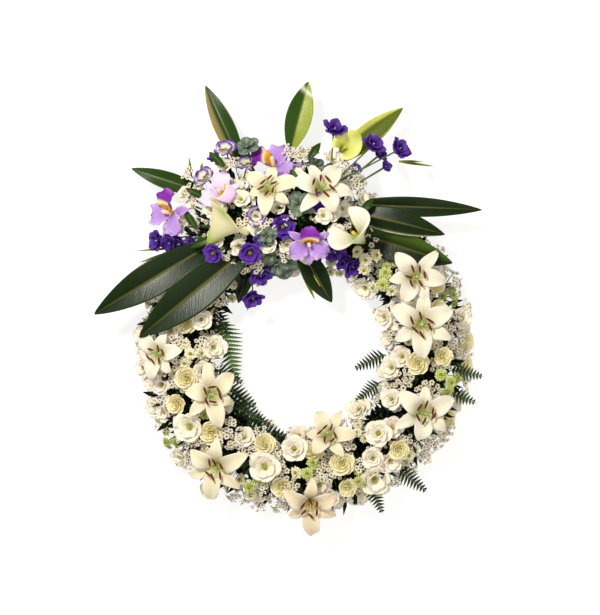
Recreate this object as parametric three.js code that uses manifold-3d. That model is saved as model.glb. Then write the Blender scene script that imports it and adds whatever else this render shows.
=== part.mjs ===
// A floral wreath that lies on its back: white blooms all round a foam ring in its tray, and at the head a crest
// of lilac orchids, callas, violet blooms and long strap leaves, pushed into a foam block of its own.
// Millimetres. The face looks up along +Z, the head of the wreath points along +Y, and the tray rests on z = 0.
import * as THREE from "three";
import { mergeVertices } from "three/addons/utils/BufferGeometryUtils.js";
import Module from "manifold-3d";

const wasm = await Module();
wasm.setup();

// Foam ring and tray
const RING_RADIUS = 264;
const RING_SIDES = 24;
const FOAM_WIDTH = 86;
const FOAM_TOP = 62;
const FOAM_CROWN = 46;
const FOAM_SHOULDER = 40;
const TRAY_WALL = 2.5;
const TRAY_HEIGHT = 18;
const SEAT_GAP = 0.3;

// Foam block under the crest, centred over the ring's upper arc
const CREST_LENGTH = 180;
const CREST_WIDTH = 84;
const CREST_HEIGHT = 62;
const CREST_CENTRE = new THREE.Vector2(-66, 280);
const CREST_TURN = 12;

// Stems aim at a core line in each foam and stop short of it
const RING_CORE_HEIGHT = 34;
const STEM_RADIUS = 2.8;
const STEM_SIDES = 3;
const STEM_STOP = 13;
const STEM_CLEARANCE = 0.4;
const BRANCH_RADIUS = 2;
const LEAF_ROOT = 6;
const STEEPEST_LEAN = 0.98;
const FACING_SHARE = 0.6;
const BLADE_THICKNESS = 1;

// A bloom that meets another moves to the nearest free place: across the wreath, or outwards on a longer stem
const CLEARANCE = 0.3;
const SHIFTS = [0, 6, 12, 18, 25, 33];
const SHIFT_DIRECTIONS = 10;
const LIFTS = [0, 7, 14, 22, 30, 40];
const LIFT_COST = 0.8;

const UP = new THREE.Vector3(0, 0, 1);
const HEADWARD = new THREE.Vector3(0, 1, 0);
const radians = THREE.MathUtils.degToRad;

// Solids

// A closed three.js geometry as a solid that can be joined and cut.
function solid(geometry) {
  const bare = geometry.clone();
  bare.deleteAttribute("normal");
  bare.deleteAttribute("uv");
  const merged = mergeVertices(bare, 1e-3);
  const triVerts = [];
  for (let i = 0; i < merged.index.count; i += 3) {
    const corners = [0, 1, 2].map((k) => merged.index.getX(i + k));
    if (new Set(corners).size === 3) triVerts.push(...corners);
  }
  const vertProperties = merged.attributes.position.array;
  return new wasm.Manifold(new wasm.Mesh({ numProp: 3, vertProperties, triVerts: new Uint32Array(triVerts) }));
}

// Joins solids, and drops the slivers that are thinner than the join's tolerance.
const JOIN_TOLERANCE = 0.02;
const fuse = (pieces) => wasm.Manifold.union(pieces).simplify(JOIN_TOLERANCE);

const around = (piece, count, start = 0) =>
  Array.from({ length: count }, (_, i) => piece.rotate([0, 0, start + (i * 360) / count]));

function indexed(points, index) {
  const geometry = new THREE.BufferGeometry().setFromPoints(points);
  geometry.setIndex(index);
  return solid(geometry);
}

// A straight round piece between two points, with few sides.
function rod(from, to, fromRadius, toRadius, sides = STEM_SIDES) {
  const along = to.clone().sub(from);
  const shape = new THREE.CylinderGeometry(toRadius, fromRadius, along.length(), sides);
  shape.applyQuaternion(new THREE.Quaternion().setFromUnitVectors(HEADWARD, along.clone().normalize()));
  const middle = from.clone().lerp(to, 0.5);
  shape.translate(middle.x, middle.y, middle.z);
  return solid(shape);
}

// A thin closed blade. point(u, v) gives its upper face, u from 0 at the root to 1 at the tip and v from -1 to 1
// across, and both faces are split into the same triangles.
function blade(point, along, across, thickness = BLADE_THICKNESS) {
  const step = 1e-3;
  const upper = [];
  const lower = [];
  for (let i = 0; i <= along; i++) {
    for (let j = 0; j <= across; j++) {
      const u = i / along;
      const v = (2 * j) / across - 1;
      const alongward = point(Math.min(u + step, 1), v).sub(point(Math.max(u - step, 0), v));
      const acrossward = point(u, v + step).sub(point(u, v - step));
      const normal = alongward.cross(acrossward).normalize();
      upper.push(point(u, v));
      lower.push(point(u, v).addScaledVector(normal, -thickness));
    }
  }
  const row = across + 1;
  const under = upper.length;
  const index = [];
  for (let i = 0; i < along; i++) {
    for (let j = 0; j < across; j++) {
      const a = i * row + j;
      const [b, c, d] = [a + row, a + row + 1, a + 1];
      index.push(a, b, c, a, c, d);
      index.push(under + a, under + c, under + b, under + a, under + d, under + c);
    }
  }
  const rim = [];
  for (let i = 0; i < along; i++) rim.push(i * row);
  for (let j = 0; j < across; j++) rim.push(along * row + j);
  for (let i = along; i > 0; i--) rim.push(i * row + across);
  for (let j = across; j > 0; j--) rim.push(j);
  rim.forEach((p, k) => {
    const q = rim[(k + 1) % rim.length];
    index.push(q, p, under + p, q, under + p, under + q);
  });
  return indexed([...upper, ...lower], index);
}

// The corners of a star-shaped rim, counter-clockwise round a facing direction, the first one towards a given corner.
function starRim({ centre, facing, points, outer, notch }, towards) {
  const first = towards.clone().sub(centre);
  first.addScaledVector(facing, -first.dot(facing)).normalize();
  return Array.from({ length: 2 * points }, (_, i) => {
    const spoke = first.clone().applyAxisAngle(facing, (Math.PI * i) / points);
    return centre.clone().addScaledVector(spoke, i % 2 ? notch : outer);
  });
}

// A bunch as one closed skin: a small core of few sides, and from each side and from its top a stalk that widens to a
// star-shaped head. Each head is [outward, upward, middle], the last raised above its rim or sunk below it.
function bunch({ sides, foot = -8, rings, heads, points, outer, notch }) {
  const corners = [new THREE.Vector3(0, 0, foot)];
  const index = [];
  const at = (ring, k) => 1 + ring * sides + (k % sides);
  for (const [radius, height] of rings) {
    for (let k = 0; k < sides; k++) {
      const angle = (2 * Math.PI * (k - 0.5)) / sides;
      corners.push(new THREE.Vector3(radius * Math.cos(angle), radius * Math.sin(angle), height));
    }
  }
  const grow = (facet, [outward, upward, middle], angle) => {
    const spoke = new THREE.Vector3(Math.cos(angle), Math.sin(angle), 0);
    const centre = spoke.clone().multiplyScalar(outward).setZ(upward);
    const facing = spoke.multiplyScalar(outward / upward).add(UP).normalize();
    const rim = starRim({ centre, facing, points, outer, notch }, corners[facet[0]]).map((corner) => corners.push(corner) - 1);
    const apex = corners.push(centre.clone().addScaledVector(facing, middle)) - 1;
    rim.forEach((corner, j) => index.push(apex, corner, rim[(j + 1) % rim.length]));
    for (let i = 0, j = 0; i < facet.length || j < rim.length; ) {
      const [here, there] = [facet[i % facet.length], rim[j % rim.length]];
      if ((i + 1) / facet.length <= (j + 1) / rim.length) {
        index.push(here, facet[++i % facet.length], there);
      } else {
        index.push(here, rim[++j % rim.length], there);
      }
    }
  };
  for (let k = 0; k < sides; k++) {
    index.push(0, at(0, k + 1), at(0, k));
    grow([at(0, k + 1), at(1, k + 1), at(1, k), at(0, k)], heads[k % (heads.length - 1)], (2 * Math.PI * k) / sides);
  }
  grow(Array.from({ length: sides }, (_, k) => at(1, k)), heads[heads.length - 1], 0);
  return indexed(corners, index);
}

// One petal's rows of points, beyond its root, as upper and lower faces. The midline is a curve in the plane of the
// bloom's axis, given as [outward, upward] points after the root. Its edges rise by cup, one edge rises over its
// neighbour by lap, a larger fullness moves its widest place towards the tip, and a smaller taper makes it blunter.
function petalRows(root, rootHalf, petal) {
  const { curve, width, cup = 0, lap = 0, fullness = 1, taper = 0.92, along = 2, across = 1 } = petal;
  const midline = new THREE.CubicBezierCurve(...[root, ...curve].map(([x, z]) => new THREE.Vector2(x, z)));
  const point = (u, v) => {
    const centre = midline.getPoint(u);
    const tangent = midline.getTangent(u);
    const half = rootHalf * (1 - u) ** 2 + width * Math.sin(Math.PI * (0.02 + taper * u ** fullness)) ** 0.75;
    const lift = half * (cup * v * v + lap * v * u);
    return new THREE.Vector3(centre.x - tangent.y * lift, v * half, centre.y + tangent.x * lift);
  };
  const step = 1e-3;
  return Array.from({ length: along }, (_, i) =>
    Array.from({ length: across + 1 }, (_, j) => {
      const u = (i + 1) / along;
      const v = (2 * j) / across - 1;
      const alongward = point(u, v).sub(point(u - step, v));
      const acrossward = point(u, v + step).sub(point(u, v - step));
      const upper = point(u, v);
      return { upper, lower: upper.clone().addScaledVector(alongward.cross(acrossward).normalize(), -BLADE_THICKNESS) };
    }),
  );
}

// A bloom as one closed skin. Its core is a stack of rings, given as [radius, height, turn], between a foot and a top,
// and petals grow from the sides of the bands that growths names, one from each side that is not left bare.
function bloom({ sides, foot = -8, top, rings, growths }) {
  const points = [new THREE.Vector3(0, 0, foot), new THREE.Vector3(0, 0, top)];
  const index = [];
  const at = (ring, k) => 2 + ring * sides + (k % sides);
  for (const [radius, height, turn = 0] of rings) {
    for (let k = 0; k < sides; k++) {
      const angle = (2 * Math.PI * (k - 0.5)) / sides + radians(turn);
      points.push(new THREE.Vector3(radius * Math.cos(angle), radius * Math.sin(angle), height));
    }
  }
  const add = (point) => points.push(point) - 1;
  const quad = (a, b, c, d) => index.push(a, b, c, a, c, d);
  for (let k = 0; k < sides; k++) {
    index.push(0, at(0, k + 1), at(0, k), 1, at(rings.length - 1, k), at(rings.length - 1, k + 1));
    for (let i = 0; i + 1 < rings.length; i++) {
      const growth = growths[i]?.[k % growths[i].length];
      if (!growth) {
        quad(at(i, k), at(i, k + 1), at(i + 1, k + 1), at(i + 1, k));
        continue;
      }
      const [radius, height, turn = 0] = rings[i + 1];
      const turned = radians(turn) + (2 * Math.PI * k) / sides;
      const root = [radius * Math.cos(Math.PI / sides), height];
      const rows = petalRows(root, radius * Math.sin(Math.PI / sides), growth).map((row) =>
        row.map(({ upper, lower }) => [add(upper.applyAxisAngle(UP, turned)), add(lower.applyAxisAngle(UP, turned))]),
      );
      const across = rows[0].length - 1;
      const [left, right] = [[at(i + 1, k), at(i, k)], [at(i + 1, k + 1), at(i, k + 1)]];
      const first = rows[0];
      const middle = first[Math.min(1, across)];
      for (let j = 0; j < across; j++) {
        const start = j === 0 ? left : right;
        index.push(start[0], first[j][0], first[j + 1][0], start[1], first[j + 1][1], first[j][1]);
      }
      index.push(left[0], middle[0], right[0], left[1], right[1], middle[1]);
      for (let r = 0; r + 1 < rows.length; r++) {
        for (let j = 0; j < across; j++) {
          const [a, b, c, d] = [rows[r][j], rows[r + 1][j], rows[r + 1][j + 1], rows[r][j + 1]];
          quad(a[0], b[0], c[0], d[0]);
          index.push(a[1], c[1], b[1], a[1], d[1], c[1]);
        }
      }
      const lefts = [left, ...rows.map((row) => row[0])];
      const rights = [right, ...rows.map((row) => row[across])];
      for (let r = 0; r < rows.length; r++) {
        quad(lefts[r][1], lefts[r + 1][1], lefts[r + 1][0], lefts[r][0]);
        quad(rights[r][0], rights[r + 1][0], rights[r + 1][1], rights[r][1]);
      }
      const end = rows[rows.length - 1];
      for (let j = 0; j < across; j++) quad(end[j][1], end[j + 1][1], end[j + 1][0], end[j][0]);
    }
  }
  return indexed(points, index);
}

// Blooms. Each stands on the origin and faces along +Z.

// Three broad petals over three narrow ones, six stamens that end in broad anthers, and a pistil.
function lily() {
  const broad = { curve: [[22, 66], [52, 76], [78, 50]], width: 20, cup: 0.3, fullness: 1.1, across: 2 };
  const narrow = { curve: [[26, 56], [54, 64], [76, 42]], width: 15 };
  const stamen = { curve: [[8, 50], [14, 62], [23, 72]], width: 10, along: 1 };
  const rings = [[8, 30], [9, 31.5], [4, 38], [4.4, 39]];
  return bloom({ sides: 6, rings, top: 82, growths: { 0: [broad, narrow], 2: [stamen] } });
}

// Two whorls of petals folded round a bud.
function rose() {
  const outer = { curve: [[24, 6], [30, 20], [36, 38]], width: 22, lap: 0.2, fullness: 2 };
  const inner = { curve: [[22, 15], [25, 28], [22, 43]], width: 15, lap: 0.2, fullness: 2, along: 1 };
  const rings = [[9, 6], [10, 7.5], [11, 12, 36], [11.6, 13.5, 36], [12, 26, 20], [9, 41, 0]];
  return bloom({ sides: 5, foot: 2, rings, top: 36, growths: { 0: [outer], 2: [inner] } });
}

// One open cup of broad petals round a thick pistil.
function lisianthus() {
  const broad = { curve: [[17, 14], [24, 32], [40, 34]], width: 21, lap: 0.14, fullness: 2.4, taper: 0.84 };
  const rings = [[6, 9], [6.6, 10.5], [4, 14], [5, 26]];
  return bloom({ sides: 5, foot: 5, rings, top: 29, growths: { 0: [broad] } });
}

// Four button heads whose stalks meet in one stem.
function santini() {
  const heads = [[22, 30, 7], [23, 33, 7], [22, 36, 7], [0, 46, 8]];
  return bunch({ sides: 3, rings: [[4, 2], [3, 9]], heads, points: 7, outer: 15, notch: 11.5 });
}

// Six small five-petalled flowers on one branching stem.
function fillerBunch() {
  const heads = [[30, 24, -2], [26, 30, -2], [0, 36, -2]];
  return bunch({ sides: 5, rings: [[7, 4], [5, 12]], heads, points: 5, outer: 12, notch: 6 });
}

// Three sepals, two broad wings and a cupped lip, the lip towards -Y.
function cattleya() {
  const sepal = { curve: [[22, 13], [40, 20], [57, 14]], width: 10 };
  const wing = { curve: [[20, 30], [38, 36], [56, 24]], width: 25, cup: 0.2, fullness: 1.3, across: 2 };
  const lip = { curve: [[12, 48], [30, 50], [46, 34]], width: 22, cup: 0.5, fullness: 1.6, along: 3, across: 2 };
  const rings = [[7.5, 10], [8, 11.5], [8, 14], [8.5, 15.5], [5, 20], [6, 40]].map((ring) => [...ring, 30]);
  const growths = { 0: [null, sepal], 2: [wing, null, wing, null, lip, null] };
  return bloom({ sides: 6, rings, top: 44, growths });
}

// One spathe rolled round its spadix, longer on the side of its tip.
function calla() {
  const spathe = (u, v) => {
    const angle = radians(150 * v);
    const reach = 5 + 20 * u + 16 * u ** 4;
    const height = 62 * u + 34 * u ** 3 * Math.cos(angle / 2) ** 4;
    return new THREE.Vector3(reach * Math.cos(angle), reach * Math.sin(angle), 4 + height);
  };
  return fuse([
    blade(spathe, 3, 5),
    solid(new THREE.CylinderGeometry(7, 3.5, 16, 5).rotateX(Math.PI / 2).translate(0, 0, 4)),
    rod(new THREE.Vector3(0, 0, 6), new THREE.Vector3(0, 0, 58), 4.5, 3, 4),
  ]);
}

// A funnel of five pointed lobes.
function gladiolus() {
  const lobe = { curve: [[14, 20], [18, 32], [31, 34]], width: 13, fullness: 1.9, lap: 0.1 };
  return bloom({ sides: 5, foot: 5, rings: [[5, 8], [5.6, 9.5], [2.5, 14]], top: 30, growths: { 0: [lobe] } });
}

// A shoot tip with five round leaves.
function eucalyptus() {
  const leaf = { curve: [[14, 10], [24, 16], [38, 16]], width: 17, fullness: 2, taper: 0.84, lap: 0.1 };
  return bloom({ sides: 5, foot: 6, rings: [[4, 9], [4.6, 10.5], [3, 14]], top: 30, growths: { 0: [leaf] } });
}

// A fern frond along +X: leaflets cut to the rib in one thin blade, which droops towards its tip.
function fern(length) {
  const pairs = 5;
  const pitch = length / (pairs + 1);
  const reach = (x) => 0.3 * length * (1 - x / length) ** 0.7 * Math.min(1, 0.5 + (3 * x) / length);
  const side = Array.from({ length: pairs }, (_, k) => {
    const root = (k + 0.6) * pitch;
    return [[root, 1.6], [root + 0.95 * pitch, reach(root)]];
  }).flat();
  const outline = [[0, 1.6], ...side, [length, 0.6]];
  const mirrored = outline.map(([x, y]) => [x, -y]).reverse();
  const shape = new THREE.Shape([...mirrored, ...outline].map(([x, y]) => new THREE.Vector2(x, y)));
  const flat = new THREE.ExtrudeGeometry(shape, { depth: BLADE_THICKNESS, bevelEnabled: false });
  const at = flat.attributes.position;
  for (let i = 0; i < at.count; i++) {
    const share = at.getX(i) / length;
    at.setZ(i, at.getZ(i) + 0.1 * length * (share - share ** 2) - 0.12 * Math.abs(at.getY(i)));
  }
  return solid(flat);
}

// A strap leaf from root to tip, folded along its midrib and arched. Roll turns it about its length.
function strapLeaf({ root, tip, width, arch = 14, roll = 0 }) {
  const from = new THREE.Vector3(...root);
  const span = new THREE.Vector3(...tip).sub(from);
  const lengthward = span.clone().normalize();
  const sideward = UP.clone().cross(lengthward).normalize().applyAxisAngle(lengthward, radians(roll));
  const outward = lengthward.clone().cross(sideward);
  const point = (u, v) => {
    const half = 0.5 * width * Math.sin(Math.PI * (0.1 + 0.885 * u)) ** 0.8;
    const rise = 4 * arch * u * (1 - u) + 0.25 * half * Math.abs(v);
    return from.clone().addScaledVector(span, u).addScaledVector(sideward, v * half).addScaledVector(outward, rise);
  };
  return blade(point, 4, 2);
}

// Beds. Each gives the point of its core line nearest to a place in plan, and how far out its foam reaches.

const ringBed = {
  name: "ring",
  surface: 48,
  core: (x, y) => new THREE.Vector3(x, y, 0).setLength(RING_RADIUS).setZ(RING_CORE_HEIGHT),
};

const crestAxis = new THREE.Vector2(Math.cos(radians(CREST_TURN)), Math.sin(radians(CREST_TURN)));
const CREST_BASE = FOAM_TOP + SEAT_GAP;
const crestBed = {
  name: "crest",
  surface: 58,
  core(x, y) {
    const furthest = CREST_LENGTH / 2 - 24;
    const along = new THREE.Vector2(x, y).sub(CREST_CENTRE).dot(crestAxis);
    const nearest = CREST_CENTRE.clone().addScaledVector(crestAxis, THREE.MathUtils.clamp(along, -furthest, furthest));
    return new THREE.Vector3(nearest.x, nearest.y, CREST_BASE + CREST_HEIGHT / 2);
  },
};

// The place that a head reaches over a point in plan, a given distance from the core line. It leans outwards there,
// and faces the same way but turned partly back up.
function placeOver(bed, x, y, reach) {
  const core = bed.core(x, y);
  const aside = new THREE.Vector3(x, y, core.z).sub(core);
  const lean = Math.asin(Math.min(aside.length() / reach, STEEPEST_LEAN));
  const leaning = (angle) => aside.clone().setLength(Math.sin(angle)).addScaledVector(UP, Math.cos(angle)).normalize();
  const distance = Math.max(reach, aside.length() / STEEPEST_LEAN);
  const face = core.clone().addScaledVector(leaning(lean), distance);
  return { core, outward: leaning(lean), facing: leaning(FACING_SHARE * lean), face };
}

// Where a head's foot stands and which way it faces. Tip leans it further, by degrees, towards a compass direction.
function seat(bed, { x, y, reach, depth, sink, tip }) {
  const { facing, face } = placeOver(bed, x, y, reach);
  if (tip) {
    const [direction, by] = tip.map(radians);
    const axis = UP.clone().cross(new THREE.Vector3(Math.cos(direction), Math.sin(direction), 0));
    facing.applyAxisAngle(axis, by);
  }
  const foot = face.clone().addScaledVector(facing, -depth);
  return { foot, facing, stemEnd: foot.clone().addScaledVector(facing, sink) };
}

// Turns a head to face its way, with its own +Y towards the head of the wreath before it is spun, and moves it there.
function stand(head, { foot, facing }, spin) {
  const right = HEADWARD.clone().cross(facing).normalize();
  const matrix = new THREE.Matrix4().makeBasis(right, facing.clone().cross(right), facing).setPosition(foot);
  return head.rotate([0, 0, spin]).transform(matrix.elements);
}

// Planting

const nodes = [];
const holes = { ring: [], crest: [] };
const beds = [];

const moves = SHIFTS.flatMap((shift) =>
  Array.from({ length: shift ? SHIFT_DIRECTIONS : 1 }, (_, k) => (2 * Math.PI * k) / SHIFT_DIRECTIONS).flatMap((angle) =>
    LIFTS.map((lift) => ({ x: shift * Math.cos(angle), y: shift * Math.sin(angle), lift, cost: shift + LIFT_COST * lift })),
  ),
).sort((a, b) => a.cost - b.cost);

function boxesMeet(a, b) {
  const [p, q] = [a.boundingBox(), b.boundingBox()];
  return [0, 1, 2].every((k) => p.min[k] < q.max[k] + CLEARANCE && q.min[k] < p.max[k] + CLEARANCE);
}

const isClear = (piece, others) =>
  others.every((other) => !boxesMeet(piece, other) || piece.minGap(other, CLEARANCE) >= CLEARANCE);

// The stem from a fork down to its stop in the foam, and the plain hole that it stands in.
function stemInto(bed, fork) {
  const core = bed.core(fork.x, fork.y);
  const outward = fork.clone().sub(core).normalize();
  const stop = core.clone().addScaledVector(outward, STEM_STOP);
  const bottom = stop.clone().addScaledVector(outward, -STEM_CLEARANCE);
  const mouth = core.clone().addScaledVector(outward, 2 * bed.surface);
  const wide = STEM_RADIUS + STEM_CLEARANCE;
  return { stem: rod(stop, fork, STEM_RADIUS, STEM_RADIUS), hole: rod(bottom, mouth, wide, wide) };
}

// Plants one spray: heads already standing in place, joined at a fork, on one stem in a foam.
function plant(name, material, bed, heads, fork) {
  const spray = fuse(heads);
  const outward = fork.clone().sub(bed.core(fork.x, fork.y)).normalize().add(UP).normalize();
  for (const { x, y, lift } of moves) {
    const move = outward.clone().multiplyScalar(lift).add(new THREE.Vector3(x, y, 0));
    const top = spray.translate(move.toArray());
    const { stem, hole } = stemInto(bed, fork.clone().add(move));
    const whole = fuse([top, stem]);
    if (!isClear(top, beds) || !isClear(whole, nodes.map((node) => node.body))) continue;
    nodes.push({ name, material, body: whole });
    holes[bed.name].push(hole);
    return;
  }
  throw new Error(name + " finds no free place");
}

// Plants blooms of one kind as a spray: a single bloom on its stem, or several branching from one fork.
function plantBlooms(name, material, bed, kind, blooms) {
  const seats = blooms.map((bloom) => {
    const size = bloom.size ?? 1;
    return { size, spin: bloom.spin ?? 0, ...seat(bed, { ...kind, ...bloom, depth: kind.depth * size, sink: kind.sink * size }) };
  });
  const stood = seats.map((place) => stand(kind.head.scale([place.size, place.size, place.size]), place, place.spin));
  if (seats.length === 1) return plant(name, material, bed, stood, seats[0].stemEnd);
  const middle = seats.reduce((sum, place) => sum.add(place.foot), new THREE.Vector3()).divideScalar(seats.length);
  const { core, outward } = placeOver(bed, middle.x, middle.y, kind.reach);
  const fork = core.clone().addScaledVector(outward, bed.surface + 10);
  const start = fork.clone().addScaledVector(outward, -4);
  const branches = seats.map((place) => rod(start, place.stemEnd, BRANCH_RADIUS, BRANCH_RADIUS));
  return plant(name, material, bed, [...stood, ...branches], fork);
}

// Plants leaves or fronds whose roots are joined by stalks to one fork.
function plantLeaves(name, material, bed, leaves, fork) {
  const start = fork.clone().add(bed.core(fork.x, fork.y).sub(fork).setLength(4));
  const stalks = leaves.map(({ root, inward }) => {
    const inside = new THREE.Vector3(...root).addScaledVector(inward, LEAF_ROOT);
    return rod(start, inside, BRANCH_RADIUS, BRANCH_RADIUS);
  });
  return plant(name, material, bed, [...leaves.map((leaf) => leaf.body), ...stalks], fork);
}

// Finishes

const finish = (color, roughness) => new THREE.MeshStandardMaterial({ color, roughness, metalness: 0 });
const finishes = {
  tray: finish("#24402a", 0.5),
  foam: finish("#3f5a34", 0.95),
  lily: finish("#f6f0e4", 0.55),
  rose: finish("#f3e6b4", 0.6),
  lisianthus: finish("#f7f3ea", 0.6),
  santini: finish("#c3cc78", 0.7),
  filler: finish("#f2ece0", 0.7),
  fern: finish("#2c4424", 0.6),
  strap: finish("#1f3319", 0.35),
  cattleya: finish("#b48ad8", 0.6),
  calla: finish("#f1efd6", 0.5),
  violet: finish("#4a2a96", 0.6),
  eucalyptus: finish("#7d9481", 0.7),
};

// Structure

function latheRing(profile) {
  const points = [...profile, profile[0]].map(([x, z]) => new THREE.Vector2(RING_RADIUS + x, z));
  return solid(new THREE.LatheGeometry(points, RING_SIDES).rotateX(Math.PI / 2));
}

const half = FOAM_WIDTH / 2;
const inset = SEAT_GAP + TRAY_WALL;
const foamRing = latheRing([
  [-half, inset],
  [half, inset],
  [half, FOAM_SHOULDER],
  [FOAM_CROWN / 2, FOAM_TOP],
  [-FOAM_CROWN / 2, FOAM_TOP],
  [-half, FOAM_SHOULDER],
]);
const outside = half + inset;
const tray = latheRing([
  [-outside, 0],
  [outside, 0],
  [outside, TRAY_HEIGHT],
  [outside - TRAY_WALL, TRAY_HEIGHT],
  [outside - TRAY_WALL, TRAY_WALL],
  [TRAY_WALL - outside, TRAY_WALL],
  [TRAY_WALL - outside, TRAY_HEIGHT],
  [-outside, TRAY_HEIGHT],
]);
const crestBlock = solid(
  new THREE.BoxGeometry(CREST_LENGTH, CREST_WIDTH, CREST_HEIGHT)
    .rotateZ(radians(CREST_TURN))
    .translate(CREST_CENTRE.x, CREST_CENTRE.y, CREST_BASE + CREST_HEIGHT / 2),
);
beds.push(tray, foamRing, crestBlock);

// Where each bloom stands. A kind's reach is the distance of its face from the core line, its depth the height of its
// face over its foot, and its sink how far its stem runs up inside it. On the ring, clock is a bloom's angle from
// +X and out its distance outside the ring's middle. On the crest, x and y are measured from the ring's centre.

const KINDS = {
  lily: { head: lily(), depth: 60, reach: 128, sink: 18 },
  rose: { head: rose(), depth: 40, reach: 104, sink: 9 },
  lisianthus: { head: lisianthus(), depth: 34, reach: 104, sink: 11 },
  santini: { head: santini(), depth: 40, reach: 98, sink: 3 },
  filler: { head: fillerBunch(), depth: 34, reach: 92, sink: 4 },
  cattleya: { head: cattleya(), depth: 34, reach: 130, sink: 8 },
  calla: { head: calla(), depth: 56, reach: 120, sink: 4 },
  gladiolus: { head: gladiolus(), depth: 28, reach: 116, sink: 10 },
  eucalyptus: { head: eucalyptus(), depth: 24, reach: 104, sink: 11 },
};

const onRing = ({ clock, out, ...rest }) => ({
  x: (RING_RADIUS + out) * Math.cos(radians(clock)),
  y: (RING_RADIUS + out) * Math.sin(radians(clock)),
  ...rest,
});

const STRAP_FANS = {
  left: [
    { root: [-215, 225, 128], tip: [-462, 77, 128], width: 78, arch: 18 },
    { root: [-130, 216, 140], tip: [-363, 26, 140], width: 88, arch: 16 },
  ],
  top: [
    { root: [-225, 345, 94], tip: [-383, 398, 86], width: 40, arch: 8 },
    { root: [-142, 412, 90], tip: [-220, 581, 82], width: 46, arch: 8 },
    { root: [-30, 446, 84], tip: [7, 590, 80], width: 58, arch: 8 },
    { root: [70, 415, 90], tip: [216, 532, 84], width: 52, arch: 8 },
  ],
  right: [
    { root: [112, 318, 104], tip: [389, 306, 112], width: 44, arch: 10 },
    { root: [100, 300, 126], tip: [306, 251, 140], width: 58, arch: 10, roll: -14 },
    { root: [96, 262, 108], tip: [323, 189, 134], width: 72, arch: 12, roll: 6 },
  ],
  low: [
    { root: [-12, 222, 106], tip: [59, 103, 92], width: 54, arch: 8 },
    { root: [-118, 212, 100], tip: [-147, 101, 92], width: 40, arch: 6 },
  ],
};

const FERNS = [
  { clock: 168, leaves: [{ at: [-186, 60], towards: 285, length: 140 }] },
  { clock: 222, leaves: [{ at: [-179, -97], towards: 322, length: 110 }, { at: [-140, -168], towards: 345, length: 110 }] },
  { clock: 344, leaves: [{ at: [180, -14], towards: 205, length: 78 }, { at: [168, -76], towards: 218, length: 70 }] },
  { clock: 348, leaves: [{ at: [318, -50], towards: 348, length: 76 }, { at: [306, -96], towards: 338, length: 76 }] },
  { clock: 302, leaves: [{ at: [205, -262], towards: 322, length: 80 }, { at: [140, -290], towards: 292, length: 76 }] },
];
const FERN_HEIGHT = 72;

const CREST_BLOOMS = [
  ["cattleya_1", "cattleya", [{ x: -306, y: 301, spin: 160 }]],
  ["cattleya_2", "cattleya", [{ x: -187, y: 345, spin: 60, size: 0.85 }]],
  ["cattleya_3", "cattleya", [{ x: -62, y: 422, spin: 280, size: 1.08 }]],
  ["cattleya_4", "cattleya", [{ x: 9, y: 227, spin: 180, size: 0.88 }]],
  ["lily_crest_1", "lily", [{ x: -81, y: 352, spin: 20, size: 0.74, reach: 138 }]],
  ["lily_crest_2", "lily", [{ x: 37, y: 352, spin: 50, size: 0.84, reach: 138 }]],
  ["calla_1", "calla", [{ x: -165, y: 284, spin: 200, tip: [40, 62], size: 1.25 }]],
  ["calla_2", "calla", [{ x: 101, y: 257, spin: 315, tip: [150, 58], size: 1.2, reach: 150 }]],
  ["calla_3", "calla", [{ x: 84, y: 436, spin: 40, tip: [250, 30], size: 0.7 }]],
  ["gladiolus_right", "gladiolus", [
    { x: 53, y: 469, size: 0.9 },
    { x: 138, y: 435, spin: 20, size: 0.9 },
    { x: 196, y: 425, spin: 40, size: 0.9 },
  ]],
];

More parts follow.
